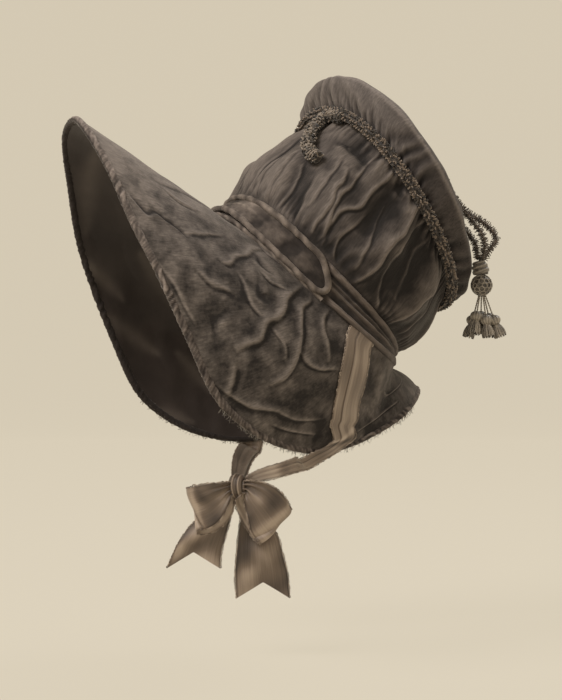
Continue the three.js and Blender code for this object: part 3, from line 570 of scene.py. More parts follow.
brim_velvet = velvet("brim_velvet", (0.0165, 0.0131, 0.0118), (0.062, 0.0512, 0.0448),
                     (0.165, 0.138, 0.121), patch_size=0.015, patchiness=2.1)
brim_cover.data.materials.append(brim_velvet)
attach(brim_cover, "root")
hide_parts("brim_cover")


# Brim lining: near-black silk satin, sewn in with the cover at the crown and under the binding at
# the edge. It is drawn tight, and a few pale streaks are painted into its colour as satin highlights.
LINING_AROUND, LINING_ACROSS = 360, 96
LINING_SHINE_STREAKS = [  # y and z at the start and at the end of each, and its half width, in millimetres
    (-150, 18, -116, -12, 6), (-134, -24, -84, -56, 7), (-92, -102, -56, -112, 6),
    (-154, 98, -150, 40, 8), (-104, 24, -66, -16, 8), (-66, -56, -34, -88, 7)]
LINING_DARK, LINING_PALE, LINING_SHINE = (0.029, 0.0222, 0.0196), (0.052, 0.04, 0.0348), (0.125, 0.102, 0.087)
turn = np.linspace(0, 360, LINING_AROUND, endpoint=False)[:, None]
share = there_and_back((0, 1, 0), UNDER_ACROSS, LINING_ACROSS)
reach = share * brim_share_within(turn, UNDER_BINDING)
spots = brim_form(turn, reach)
inner = (np.arange(share.shape[1]) >= UNDER_ACROSS)[None, :]
fade = np.minimum(1, reach / 0.12) * np.minimum(1, (1 - reach) / 0.15)
drawn = (crumple(spots, 70, 11) * 1.3 + crumple(spots * (1, 1, 0.45), 30, 12) * 0.6) * fade
# Painted highlight: a pale streak of colour along each line of the table.
shine = np.zeros(spots.shape[:2])
for start_y, start_z, end_y, end_z, width in LINING_SHINE_STREAKS:
    start, step = np.array([start_y, start_z]), np.array([end_y - start_y, end_z - start_z])
    along = np.clip(((spots[..., 1:] - start) @ step) / (step @ step), 0, 1)
    off = np.linalg.norm(spots[..., 1:] - start - along[..., None] * step, axis=-1)
    shine += bell(off, width * (0.4 + 2.4 * along * (1 - along)))
lift = np.where(inner, np.minimum(drawn, 0.4) - SATIN, 0) - CLOTH - FIT + brim_relief(turn, reach)[2]
lining = raise_mesh("brim_satin", grid_shell(
    spots + outward(brim_form, turn, reach, -1) * lift[..., None],
    np.linspace(0, 1, LINING_AROUND + 1) * 0.6, np.arange(share.shape[1] + 1) * 0.0015, shine=shine))

# Weave is fine threads along and across the cloth, with slubs. Its height is in metres.
weave, take, give = new_group("weave", [("Thread", "Float", 0.00035), ("Depth", "Float", 0.00004)],
                              [("Height", "Float"), ("Slub", "Float")])
cloth_uv = cloth_place(weave)
count = maths(weave, "DIVIDE", 1.0, take["Thread"])
along, across = (
    add_node(weave, "TexWave", {"Vector": cloth_uv, "Scale": count, "Distortion": 0.6, "Detail": 1.0},
             bands_direction=way).outputs["Fac"] for way in "XY")
crossed = maths(weave, "MAXIMUM", along, across)
slubs = add_node(weave, "VectorMath", {0: cloth_uv, 1: (30.0, 700.0, 1.0)}, operation="MULTIPLY").outputs[0]
weave.links.new(maths(weave, "MULTIPLY", crossed, take["Depth"]), give["Height"])
weave.links.new(noise(weave, slubs, 1.0, 3.0), give["Slub"])

satin, tree, shader = new_material("lining_satin", 0.45, Sheen_Weight=0.08, Specular_IOR_Level=0.2)
woven = add_node(tree, "Group", {"Thread": 0.0004, "Depth": 0.00003}, node_tree=weave)
cloud = noise(tree, object_place(tree), 22.0, 4.0, 0.55)
shade = blend(tree, span(tree, cloud, 0.3, 0.72), LINING_DARK, LINING_PALE)
# Painted highlight: the streaks mix the pale shine colour into the satin.
broken = maths(tree, "MULTIPLY", field(tree, "shine"), cloud)
tree.links.new(blend(tree, broken, shade, LINING_SHINE), shader.inputs["Base Color"])
tree.links.new(span(tree, woven.outputs["Slub"], 0.3, 0.7, 0.36, 0.52), shader.inputs["Roughness"])
emboss(tree, shader, woven.outputs["Height"], 0.6)
lining.data.materials.append(satin)
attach(lining, "root")
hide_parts("brim_lining")


# Brim binding: a bias strip of lighter velvet rolled round the wired edge. Its slanting folds come
# from the bias being eased round the curve, and its raw edge has frayed behind the cheeks.
BINDING_AROUND, BINDING_SIDES, BINDING_FOLD = 1300, 20, 9
COVER_MIDDLE = (CLOTH + FIT + SATIN) / 2
FRAY_COUNT, FRAY_RADIUS = 420, 0.14


def edge_frame(turn):
    """Centre of the binding, the way on past the edge, and the way out of the brim's face."""
    edge = np.ones_like(turn)
    over = outward(brim_form, turn, edge, -1)
    onward = unit(brim_form(turn, edge) - brim_form(turn, np.full_like(turn, 0.9)))
    centre = brim_form(turn, brim_share_within(turn, BINDING_RADIUS)) - over * COVER_MIDDLE
    return centre, onward, over


def run_along(line):
    """Length along a line up to each of its points."""
    return np.concatenate([[0], np.cumsum(np.linalg.norm(np.diff(line, axis=0), axis=1))])


def spokes(angle, first, second):
    """Directions at angles from the first of two directions towards the second."""
    return np.cos(angle)[..., None] * first + np.sin(angle)[..., None] * second


turn = np.linspace(0, 360, BINDING_AROUND, endpoint=False)
centre, onward, over = edge_frame(turn)
run = run_along(centre)
total_run = run[-1] + np.linalg.norm(centre[0] - centre[-1])
angle = full_turn(BINDING_SIDES)[None, :]
wind = 2 * np.pi * round(total_run / BINDING_FOLD) * (run / total_run)[:, None]
uneven = crumple(centre, 26, 21)[:, None] * 3.5
strength = np.clip(0.45 + 0.6 * crumple(centre, 38, 22)[:, None], 0.05, 1)
fold_height = (0.42 * np.cos(wind + uneven + 2.6 * angle) * strength
               + 0.2 * np.cos(3 * wind + 5 * angle + 2 * uneven))
radius = (BINDING_RADIUS - 0.35) * (1 - 0.16 * np.sin(angle) ** 2) + fold_height
ring = centre[:, None] + radius[..., None] * spokes(angle, onward[:, None], over[:, None])
# Painted shade and highlight: pale on the fold crests, dark in their grooves and on the half turned under the
# brim, and painted paler towards the front.
binding = raise_mesh("brim_bias", grid_shell(
    ring, np.append(run, total_run) * MM, np.arange(BINDING_SIDES + 1) * 0.0012,
    relief=fold_height * 2.6 - 0.15 - 2.6 * smoothstep(-np.sin(angle), -0.15, 0.3),
    faded=0.8 * bell(away_from_front(turn)[:, None], 45) + 0 * angle))
trim_velvet = velvet("trim_velvet", (0.026, 0.02, 0.0177), (0.092, 0.0735, 0.064), (0.27, 0.223, 0.196),
                     patch_size=0.007, patchiness=1.1, depth=0.00025, sheen=0.3, streak_length=2.0)
binding.data.materials.append(trim_velvet)
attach(binding, "root")
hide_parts("brim_binding")


def end_faces(rows, columns):
    """The two end faces of a tube of points."""
    first = np.arange(columns)
    return [first[None, ::-1], first[None, :] + (rows - 1) * columns]


def threads(paths, radius, normals, sides=4, taper=None, closed=False, **fields):
    """Many threads as one shell. Paths is threads x points x 3 in millimetres. Each section is a
    circle in the plane of the normal and of its product with the path's direction."""
    count, points = paths.shape[:2]
    if closed:
        ahead = unit(np.roll(paths, -1, axis=1) - np.roll(paths, 1, axis=1))
    else:
        ahead = unit(np.gradient(paths, axis=1))
    across = unit(np.cross(ahead, normals))
    normal = np.cross(across, ahead)
    size = radius * (np.ones(points) if taper is None else taper)
    section = spokes(full_turn(sides), across[:, :, None], normal[:, :, None])
    rings = paths[:, :, None] + section * size[None, :, None, None]
    sets = [grid_faces(points, sides, closed, True)[0]] + ([] if closed else end_faces(points, sides))
    step = np.arange(count)[:, None, None] * points * sides
    sets = [(faces[None] + step).reshape(-1, faces.shape[1]) for faces in sets]
    spread = {}
    for key, value in fields.items():
        value = np.asarray(value, float).reshape(count, -1)
        spread[key] = np.repeat(np.broadcast_to(value, (count, points)), sides, axis=1)
    return shell(rings * MM, sets, **spread)


draw = np.random.default_rng(31)
side = np.where(draw.uniform(size=FRAY_COUNT) < 0.62, 1, -1)
fray_turn = side * (168 - 74 * draw.uniform(size=FRAY_COUNT) ** 1.3)
centre, onward, over = edge_frame(fray_turn)
lean = draw.uniform(-0.9, 0.9, FRAY_COUNT)[:, None]
forward = unit(edge_frame(fray_turn + 1)[0] - centre)
start = centre + (onward * np.cos(lean) + over * np.sin(lean)) * (BINDING_RADIUS - 0.2)
way = unit(onward + over * np.sin(lean) * 0.7 + forward * draw.normal(0, 0.8, (FRAY_COUNT, 1)) + (0, 0, -0.4))
length = draw.uniform(0.8, 3.4, FRAY_COUNT)[:, None]
curl = unit(np.cross(way, draw.normal(size=(FRAY_COUNT, 3)))) * draw.uniform(0.1, 0.7, (FRAY_COUNT, 1))
steps = np.linspace(0, 1, 4)[None, :, None]
paths = start[:, None] + (way * length)[:, None] * steps + (curl * length)[:, None] * steps ** 2
flat = np.broadcast_to(unit(np.cross(way, curl))[:, None], paths.shape)
fray = raise_mesh("edge_fray", threads(paths, FRAY_RADIUS, flat, tone=lean * 0.5 + 0.5))
frayed_silk, tree, shader = new_material("frayed_thread", 0.7, Sheen_Weight=0.3)
silk_color = blend(tree, field(tree, "tone"), (0.10, 0.082, 0.064), (0.2, 0.17, 0.135))
tree.links.new(silk_color, shader.inputs["Base Color"])
fray.data.materials.append(frayed_silk)
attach(fray, "root")


# Crown band: velvet drawn round the joint of brim and crown in lengthwise rolls, tacked down in the
# channels between them. At the nape the band is so narrow that its two outer rolls meet.
BAND_AROUND, BAND_ACROSS, BAND_UNDER = 640, 64, 6
TAB_END, TAB_ROUND = 75, 8
ROLL_HEIGHT, ROLL_HALF = 3.3, 3.3


def on_band(turn, rise, lift):
    """Point at a rise above the band's foot and a lift out of its face, in millimetres."""
    low, up, _, out = band_frame(turn)
    return low + up * np.asarray(rise)[..., None] + out * np.asarray(lift)[..., None]


def round_off(gap, half):
    """sqrt(1 - (gap / half)^2), which is the section of a round roll, and 0 beside it."""
    return np.sqrt(np.maximum(0, 1 - (gap / half) ** 2))


turn = np.linspace(0, 360, BAND_AROUND, endpoint=False)[:, None]
away = away_from_front(turn)
width = band_frame(turn)[2][..., 0]
share = there_and_back((0, 1, 0), BAND_ACROSS, BAND_UNDER)
rise = share * width
flat = on_band(turn, rise, 0 * rise)
shift = crumple(on_band(turn, width / 2, 0 * width), 60, 41) * 0.8
roll = ROLL_HEIGHT * (1 + 0.12 * crumple(flat, 30, 42))
merged = 1 - 0.6 * smoothstep(away, 98, 132)
lift = roll * (merged * round_off(rise - ROLL_HALF, ROLL_HALF + 0.1)
               + round_off(width - rise - ROLL_HALF - 0.4, ROLL_HALF + 0.6))
lift += smoothstep(width, 16, 24) * (1.9 * bell(rise - 0.47 * width - shift, 1.9)
                                     + 1.2 * bell(rise - 0.64 * width - shift, 1.3))
lift += 0.25 * crumple(flat * (0.5, 0.5, 1), 9, 43)
free = smoothstep(away, TAB_END - 2, TAB_END + 3)
face = (np.arange(share.shape[1]) < BAND_ACROSS)[None, :]
lift = np.where(face, np.maximum(lift, 0) * free, -CLOTH)
# Painted shade and highlight: the relief field pales the rolls and darkens the channels between them.
band = raise_mesh("crown_band_rolls", grid_shell(
    on_band(turn, rise, lift), np.linspace(0, 1, BAND_AROUND + 1) * 0.5,
    np.arange(share.shape[1] + 1) * 0.0005, turned=True,
    relief=stand_out(np.where(face, lift, 0), 2, 9) * 0.8, faded=0.0))
band_velvet = velvet("band_velvet", (0.016, 0.0126, 0.0115), (0.058, 0.0456, 0.0392), (0.15, 0.119, 0.1),
                     patch_size=0.014, patchiness=0.5)
band.data.materials.append(band_velvet)
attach(band, "root")
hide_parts("crown_band")


# Band tab: a long padded strap of velvet over the front of the band, with round ends. Its dished
# middle is edged all round with a piping, and a thin tuck of the band shows below it.
TAB_SIDE, TAB_LIFT, TAB_STRAIGHT = 0.88, 1.25, TAB_END - TAB_ROUND
TAB_ALONG, TAB_ACROSS, TAB_UNDER = 420, 44, 8
TAB_MM = np.array([1.4, 15])  # rough size of a degree along it and of half its width
STRAIGHT_POINTS, ARC_POINTS, OUTLINE_SPACING = 160, 24, 0.7
PIPING_RADIUS, PIPING_SIDES = 2.3, 14
TUCK_END, TUCK_POINTS, TUCK_RADIUS = 72, 260, 1.7


def tab_rise(turn, side):
    """Rise above the band's foot at a side from -1 to 1 of the tab, which is narrower in front."""
    width = band_frame(turn)[2][..., 0]
    narrow = bell(turn, 34)
    return width * (0.5 + 0.13 * narrow) + side * (width / 2 - 0.4) * TAB_SIDE * (1 - 0.3 * narrow)


def come_round(rows):
    """Rows with the first one again at the end, for a line that closes on itself."""
    return np.concatenate([rows, rows[:1]])


def at_lengths(at, run, *tables):
    """Rows of each table, which go with lengths along a line, interpolated at other lengths."""
    return [np.stack([np.interp(at, run, rows[:, k]) for k in range(rows.shape[1])], 1)
            for rows in tables]


def evenly(line, spacing, closed=False):
    """The same line with its points a set distance apart along it."""
    if closed:
        line = come_round(line)
    run = run_along(line)
    marks = np.linspace(0, run[-1], max(int(round(run[-1] / spacing)), 3) + 1)
    made = at_lengths(marks, run, line)[0]
    return made[:-1] if closed else made


def section_ways(line, normal, closed=False):
    """Direction of a line at each of its points, and two directions across it, of which the second
    is as near as it can be to a given one."""
    ahead = unit(np.roll(line, -1, 0) - np.roll(line, 1, 0) if closed else np.gradient(line, axis=0))
    across = unit(np.cross(ahead, normal))
    return ahead, across, np.cross(across, ahead)


def tube(centre, across, normal, radius, closed=False, **fields):
    """Shell round a line: its points plus r (cos a, sin a) in two directions across it, with a
    radius r for each point and side."""
    sides = radius.shape[1]
    ring = centre[:, None] + radius[..., None] * spokes(full_turn(sides)[None], across[:, None],
                                                        normal[:, None])
    run = run_along(centre) * MM
    return grid_shell(ring, np.append(run, run[-1] + run[1] - run[0]), np.arange(sides + 1) * 0.0012,
                      (closed, True), () if closed else end_faces(len(centre), sides), **fields)


def piping(line, normal, radius, pitch, seed, closed):
    """Bias strip rolled into a cord: a tube whose radius waves along and slantwise round it."""
    _, across, normal = section_ways(line, normal, closed)
    run = run_along(line)[:, None]
    turns = max(round(run[-1, 0] / pitch), 1)
    loose = crumple(line, 22, seed)[:, None]
    wave = np.cos(2 * np.pi * turns * run / run[-1] + full_turn(PIPING_SIDES)[None] + 1.8 * loose)
    height = radius * (0.09 * wave + 0.05 * crumple(line, 5, seed + 1)[:, None] + 0.06 * loose)
    # Painted highlight and shade: the relief field follows the slanting waves, pale on their crests and dark
    # between.
    return tube(line, across, normal, radius + height, closed, relief=wave * 0.6 + 0.65, faded=0.0)


def close_poles(piece):
    """Merges the points that lie in one place, which closes the mesh where a row of them meets."""
    work = bmesh.new()
    work.from_mesh(piece.data)
    bmesh.ops.remove_doubles(work, verts=work.verts, dist=2e-7)
    work.to_mesh(piece.data)
    work.free()


turn = np.linspace(-TAB_END, TAB_END, TAB_ALONG)[:, None]
past = np.clip((np.abs(turn) - TAB_STRAIGHT) / TAB_ROUND, 0, 1)
side = there_and_back((-1, 1, -1), TAB_ACROSS, TAB_UNDER)
face = (np.arange(side.shape[1]) < TAB_ACROSS)[None, :]
rise = tab_rise(turn, side * np.sqrt(1 - past ** 2))
flat = on_band(turn, rise, 0 * rise)
tucks = crumple(flat * (0.6, 0.6, 1.2), 16, 51) * 0.7 + crumple(flat, 6, 52) * 0.12
tucks += 0.8 * bell(side - 0.15 * np.sin(turn / 14), 0.13) * smoothstep(-np.abs(turn), -50, -12)
lift = TAB_LIFT + np.maximum(1.3 + tucks * (1 - side ** 4) - 0.5 * (1 - side ** 2), 0.35)
# Painted shade and highlight: the pad is pale on its tucks, dark between them, and darker towards its end
# past about 38 degrees.
pad = grid_shell(
    on_band(turn, rise, np.where(face, lift, TAB_LIFT)), np.linspace(0, 0.26, TAB_ALONG + 1),
    np.arange(side.shape[1] + 1) * 0.0007, (False, True), end_faces(TAB_ALONG, side.shape[1]),
    turned=True, relief=np.where(face, 1.15 * tucks - 0.35 - smoothstep(turn, 38, 58), 0), faded=0.0)

straight = np.linspace(-TAB_STRAIGHT, TAB_STRAIGHT, STRAIGHT_POINTS)
arc = np.radians(np.linspace(-90, 90, ARC_POINTS)[1:-1])
half = np.concatenate([np.stack([straight, np.full(STRAIGHT_POINTS, -1.0)], 1),
                       np.stack([TAB_STRAIGHT + TAB_ROUND * np.cos(arc), np.sin(arc)], 1)])
outline = evenly(np.concatenate([half, -half]) * TAB_MM, OUTLINE_SPACING, True) / TAB_MM
at, side = outline[:, 0], outline[:, 1]
edge_line = on_band(at, tab_rise(at, side), np.full(len(at), TAB_LIFT + PIPING_RADIUS - 0.5))
edge_piping = piping(edge_line, band_frame(at)[3], PIPING_RADIUS, 17, 53, True)
at = np.linspace(-TUCK_END, TUCK_END, TUCK_POINTS)
wobble = 0.5 * np.sin(at / 6.5) + 0.4 * np.sin(at / 2.9 + 1)
tuck_line = on_band(at, -0.2 + 0.4 * wobble + 3.5 * bell(at, 30), 1.2 + 0.3 * np.cos(at / 4.1))
tuck = piping(tuck_line, band_frame(at)[3], TUCK_RADIUS, 14, 55, False)
tab = raise_mesh("band_tab_strap", pad, edge_piping, tuck)
close_poles(tab)
tab_velvet = velvet("tab_velvet", (0.021, 0.0158, 0.0134), (0.078, 0.0612, 0.051), (0.21, 0.17, 0.141),
                    patch_size=0.008, patchiness=0.45, depth=0.00025, streak_length=1.5)
tab.data.materials.append(tab_velvet)
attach(tab, "root")
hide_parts("band_tab")


# Crown wall: a straight length of velvet gathered into the band below and under the cord above. The
# fullness falls in deep flutes and pinched ridges. The velvet is painted paler in front and darker
# round to the nape, as painted light and shade.
CROWN_DEPTH, CROWN_AROUND, CROWN_ACROSS = 85, 720, 120
CROWN_CREASES = [  # height, width, then (turn, reach) points
    (3.5, 7, (2, .75), (1, .45), (3, .2)),
    (3, 6.6, (22, .55), (26, .3), (30, .02)),
    (-3, 6.6, (37, .45), (42, .25), (46, .05)),
    (3.9, 7.7, (54, .62), (57, .35), (60, .08)),
    (3.7, 8.8, (71, .9), (69, .5), (66, .1)),
    (-3.7, 7.7, (40, .76), (50, .78), (60, .78)),
    (-3.9, 8.8, (82, .85), (82, .6), (80, .3)),
    (4.8, 7.7, (94, .9), (94, .5), (93, .05)),
    (-4.1, 8.8, (112, .8), (112, .5), (113, .2)),
    (4.8, 9.9, (128, .87), (127, .5), (124, .1)),
    (-3.2, 9.9, (152, .85), (151, .5), (150, .15)),
    (1, 1.4, (21, .53), (23, .35), (25.5, .19), (29, .02)),
    (1, 1.4, (30.5, .42), (34.5, .31), (36.5, .18), (36, .04)),
    (-1.3, 1.6, (42.5, .39), (45.5, .22), (47, .12), (48, .03)),
    (1.2, 1.2, (53.5, .6), (57, .51), (57, .41), (59.5, .29), (59.5, .14), (61, .06)),
    (1.1, 1.1, (60.5, .91), (59, .76), (59.5, .63), (61, .51), (61, .37), (62.5, .23), (65, .12),
     (65, .04)),
    (1.4, 1.3, (71.5, .88), (72, .76), (70.5, .62), (70, .47), (66, .35), (64.5, .23), (65.5, .13),
     (67.5, .04)),
    (0.96, 1.1, (74.5, .46), (74, .29), (72, .18), (74, .09), (78, .02)),
    (1.8, 1.4, (94, .9), (94, .66), (93, .42), (94, .31), (93.5, .12), (92, .01)),
    (1.4, 1.4, (100.5, .9), (99, .63), (99, .43), (101, .25), (105, .12), (111.5, .01)),
    (1.4, 1.6, (127.5, .87), (130, .63), (126.5, .4), (124, .14), (123, .01)),
    (-1.4, 2.4, (36.5, .75), (48.5, .77), (59.5, .77)),
    (-1.4, 2.6, (77.5, .86), (84.5, .85)),
    (0.8, 1.3, (13, .4), (15, .2), (17, .03)),
    (0.88, 1.3, (8, .7), (9, .4), (11, .06)),
    (0.8, 1.2, (46, .66), (49, .55), (50, .4), (52, .2)),
    (0.8, 1.2, (80, .7), (82, .5), (84, .3), (88, .1)),
    (0.96, 1.4, (110, .88), (108, .66), (110, .44), (114, .2)),
    (1.2, 1.6, (140, .9), (142, .6), (138, .3), (136, .05)),
    (1.2, 1.6, (158, .9), (160, .6), (160, .3), (162, .05)),
    (1.1, 1.6, (172, .9), (174, .6), (172, .3), (170, .05)),
]


def crown_form(turn, reach):
    """Smooth outer face of the crown's wall: straight from just inside the band to the cord's ring,
    swelled by a bulge times sin(pi r^0.7)."""
    _, up, _, _ = band_frame(turn)
    start, end = ring_point("band", turn) - up * 0.6, ring_point("join", turn)
    ahead = ring_point("band", turn + 2) - ring_point("band", turn - 2)
    out = unit(np.cross(ahead, end - start))
    swell = 7 + 3 * smoothstep(away_from_front(turn), 110, 160)[..., None]
    reach = np.asarray(reach)[..., None]
    return start + (end - start) * reach + out * swell * np.sin(np.pi * reach ** 0.7)


def crown_relief(turn, reach):
    """Flutes and pinched ridges, with fine gathers towards the cord, puckers at the band, and two
    soft puffs in front."""
    spot = crown_form(turn, reach)
    drift = 6 * crumple(spot * (1, 1, 0.3), 60, 61)
    gathers = np.cos(np.radians(46 * turn) + drift) + 0.5 * np.cos(np.radians(83 * turn) - drift)
    gathers = 0.8 * gathers * smoothstep(reach, 0.66, 0.95)
    puckers = 0.4 * np.cos(np.radians(64 * turn) + 1.5 * drift) * (1 - smoothstep(reach, 0.05, 0.3))
    soft = crumple(spot, 52, 62) + crumple(spot, 20, 63) * 0.12
    folds, crest = crease_relief(CROWN_CREASES, turn, reach, CROWN_DEPTH, (0.95, -0.3))
    fade = np.minimum(1, reach / 0.07) * np.minimum(1, (1 - reach) / 0.13)
    puff = (2.0 * bell(away_from_front(turn), 34) * bell(reach, 0.2, 0.3)
            + 3.6 * bell(away_from_front(turn + 24), 18) * bell(reach, 0.11, 0.4))
    return (folds + gathers + puckers + soft + puff) * fade, crest * fade


turn = turns_dense(CROWN_AROUND, 15, 150)[:, None]
away = away_from_front(turn)
share = there_and_back((0, 1, 0), CROWN_ACROSS, UNDER_ACROSS)
reach = share + 0 * turn
height, crest = crown_relief(turn, reach)
inner = (np.arange(share.shape[1]) >= CROWN_ACROSS)[None, :]
lift = np.where(inner, np.minimum(height, 0) - CLOTH, height)
# Painted shade and highlight: the relief field darkens the hollows and pales the crests.
crown = raise_mesh("crown_velvet", grid_shell(
    crown_form(turn, reach) + outward(crown_form, turn, reach) * lift[..., None],
    np.append(turn[:, 0], 360) / 360 * 0.7, np.arange(share.shape[1] + 1) * 0.00085,
    relief=0.9 * stand_out(height, 4, 6) + 0.4 * stand_out(height, 16, 14) + 0.95 * crest,
    faded=1.05 * bell(away, 48) - 0.5 * smoothstep(away, 70, 105) + 0 * share))
crown_velvet = velvet("crown_velvet", (0.0135, 0.0107, 0.0095), (0.042, 0.0337, 0.0297),
                      (0.14, 0.115, 0.099), patch_size=0.024, patchiness=0.8)
crown.data.materials.append(crown_velvet)
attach(crown, "root")
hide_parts("crown_wall")


# Crown tip: a round of velvet, larger than its place, gathered under the cord so that its side
# puffs out and its face stands up a little in the middle.
TIP_SIDE, TIP_DOME, TIP_RADIUS = 0.375, 20, 95
TIP_AROUND, TIP_SIDE_ROWS, TIP_FACE_ROWS, TIP_UNDER = 480, 56, 48, 16
rim_front, _, rim_nape = RINGS["rim"]
tip_middle = np.array([0, (rim_front[0] + rim_nape[0]) / 2, (rim_front[1] + rim_nape[1]) / 2])
tip_axis = unit(np.array([0, rim_front[1] - rim_nape[1], rim_nape[0] - rim_front[0]], float))


def tip_form(turn, reach):
    """Outer face of the tip: a quarter ellipse from the cord's ring out to the rim, then a second
    from the rim up to the middle of the face."""
    reach = np.asarray(reach)[..., None]
    rim, start = ring_point("rim", turn), ring_point("join", turn)
    across = rim - start
    axial = (across @ tip_axis)[..., None] * tip_axis
    angle = np.pi / 2 * np.clip(reach / TIP_SIDE, 0, 1)
    side = start + (across - axial) * np.sin(angle) + axial * (1 - np.cos(angle))
    angle = np.pi / 2 * np.clip((reach - TIP_SIDE) / (1 - TIP_SIDE), 0, 1)
    face = tip_middle + (rim - tip_middle) * np.cos(angle) + tip_axis * TIP_DOME * np.sin(angle)
    return np.where(reach < TIP_SIDE, side, face)


def from_tip_axis(points):
    """Offset of points from the line through the tip's middle and square to its rim."""
    offset = points - tip_middle
    return offset - (offset @ tip_axis)[..., None] * tip_axis


turn = np.linspace(0, 360, TIP_AROUND, endpoint=False)[:, None]
away = away_from_front(turn)
share = np.concatenate([
    np.linspace(0, TIP_SIDE, TIP_SIDE_ROWS), np.linspace(TIP_SIDE, 1, TIP_FACE_ROWS)[1:],
    np.linspace(1, 0, TIP_UNDER)])[None, :]
reach = share + 0 * turn
spot = tip_form(turn, reach)
drift = 5 * crumple(spot, 70, 71)
gathers = 0.65 * np.cos(np.radians(52 * turn) + drift) + 0.4 * np.cos(np.radians(91 * turn) - 1.4 * drift)
near_cord = np.clip(share / 0.02, 0, 1) * (1 - smoothstep(share, 0.03, 0.30))
pull = 0.7 * np.cos(np.radians(23 * turn) + drift) * (1 - smoothstep(share, 0.15, 0.55))
soft = crumple(spot, 60, 72) * 0.9 + crumple(spot, 24, 73) * 0.3
height = (gathers * near_cord + pull * np.clip(share / 0.03, 0, 1)
          + soft * np.clip(share / 0.1, 0, 1) * np.clip((1 - share) / 0.2, 0, 1))
face = (np.arange(share.shape[1]) < TIP_SIDE_ROWS + TIP_FACE_ROWS - 1)[None, :, None]
side_part = (share < TIP_SIDE * 0.8)[..., None]
inside = spot - from_tip_axis(spot) * CLOTH / TIP_RADIUS + tip_axis * np.where(side_part, CLOTH, -CLOTH)
outside = spot + outward(tip_form, turn, np.clip(reach, 0.03, 0.97)) * height[..., None]
# Painted light: a pale line just past the rim except at the back, as painted highlight, paler in front, and
# darker towards the back as painted shade; the relief field darkens hollows and pales gathers.
tip_painted_light = (1.5 * bell(share, 0.03, 0.395) * (1 - smoothstep(away, 100, 140))
            + 0.85 * (1 - smoothstep(away, 25, 90)) - 0.45 * smoothstep(away, 95, 150))
tip = raise_mesh("crown_tip_velvet", grid_shell(
    np.where(face, outside, inside) + tip_axis * FIT, np.linspace(0, 1, TIP_AROUND + 1) * 0.6,
    np.arange(share.shape[1] + 1) * 0.0009, relief=stand_out(height, 3, 6) * 1.1, faded=tip_painted_light))
close_poles(tip)
tip_velvet = velvet("tip_velvet", (0.0125, 0.00977, 0.00907), (0.052, 0.0423, 0.0382), (0.165, 0.139, 0.124),
                    patch_size=0.035, patchiness=0.6)
tip.data.materials.append(tip_velvet)
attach(tip, "root")
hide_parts("crown_tip")


# Crown cord: chenille gimp, small upright loops of silk thread on a dark core, sewn into the groove
# between wall and tip all the way round.
CORD_RADIUS, CORD_CLEAR, CORD_POINTS = 4.0, 1.7, 900
CORD_CORE, CORD_FOOT, CORD_REACH, CORD_THREAD = 2.6, 2.0, 4.3, 0.46  # radii
CORD_SPACING, CORD_ABREAST = 1.45, 5  # millimetres between rows of loops, and loops in a row


def gimp_loops(line, across, up, core, reach, spacing, abreast, thread, seed):
    """Small upright loops of thread on a dark core. Each leaves the core at an angle g to the up
    way, and its path is core + (reach - core) sin(t) outwards with w cos(t) along the line."""
    run = run_along(line)
    count = int(run[-1] / spacing)
    draw = np.random.default_rng(seed)
    at = np.repeat(np.linspace(0.3, run[-1] - 0.3, count), abreast) + draw.normal(0, 0.25, count * abreast)
    lean = np.tile(np.linspace(-1.75, 1.75, abreast), count) + draw.normal(0, 0.16, count * abreast)
    foot, side, top, ahead = at_lengths(at, run, line, across, up, np.gradient(line, axis=0))
    ray, ahead = spokes(lean, top, side), unit(ahead)
    along = spokes(draw.normal(0, 0.5, len(at)), ahead, unit(np.cross(ray, ahead)))
    t = np.linspace(-0.25, np.pi + 0.25, 8)[None, :, None]
    tall = (reach - core) * draw.uniform(0.75, 1.2, (len(at), 1, 1))
    paths = (foot[:, None] + ray[:, None] * (core + tall * np.sin(t))
             + along[:, None] * np.cos(t) * draw.uniform(0.45, 0.75, (len(at), 1, 1)))
    tone = np.where(draw.uniform(size=len(at)) < 0.45, draw.uniform(0.75, 1.2, len(at)), 0.05)
    return threads(paths, thread, np.broadcast_to(np.cross(ray, along)[:, None], paths.shape), tone=tone)


def silk_thread(name, low, high, roughness=0.75, sheen=0.4):
    """Thread whose tone field runs between two colours, with fine twist lines in its surface."""
    made, tree, shader = new_material(name, roughness, Sheen_Weight=sheen, Sheen_Roughness=0.4)
    place = object_place(tree)
    mixed = maths(tree, "MULTIPLY_ADD", noise(tree, place, 420.0, 3.0), 0.9, field(tree, "tone"))
    tree.links.new(blend(tree, span(tree, mixed, 0.35, 1.35), low, high), shader.inputs["Base Color"])
    emboss(tree, shader, noise(tree, place, 2600.0, 2.0), 0.4, 0.0002)
    return made


turn = np.linspace(0, 360, CORD_POINTS, endpoint=False)
corner = ring_point("join", turn)
wall_down = unit(crown_form(turn, np.full_like(turn, 0.85)) - corner)
tip_outward = unit(from_tip_axis(corner))
away = unit(wall_down + tip_outward)
opening = np.arccos(np.clip((wall_down * tip_outward).sum(1), -1, 1))
centre = corner + away * ((CORD_RADIUS + CORD_CLEAR) / np.sin(opening / 2))[:, None]
other = section_ways(centre, away, True)[1]
crown_cord = raise_mesh(
    "crown_gimp",
    gimp_loops(come_round(centre), come_round(other), come_round(away), CORD_FOOT, CORD_REACH,
               CORD_SPACING, CORD_ABREAST, CORD_THREAD, 81),
    tube(centre, other, away, np.full((CORD_POINTS, 10), CORD_CORE), True, tone=0.0))
chenille = silk_thread("chenille_silk", (0.0125, 0.009, 0.0072), (0.23, 0.174, 0.131))
crown_cord.data.materials.append(chenille)
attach(crown_cord, "root")
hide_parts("crown_cord")


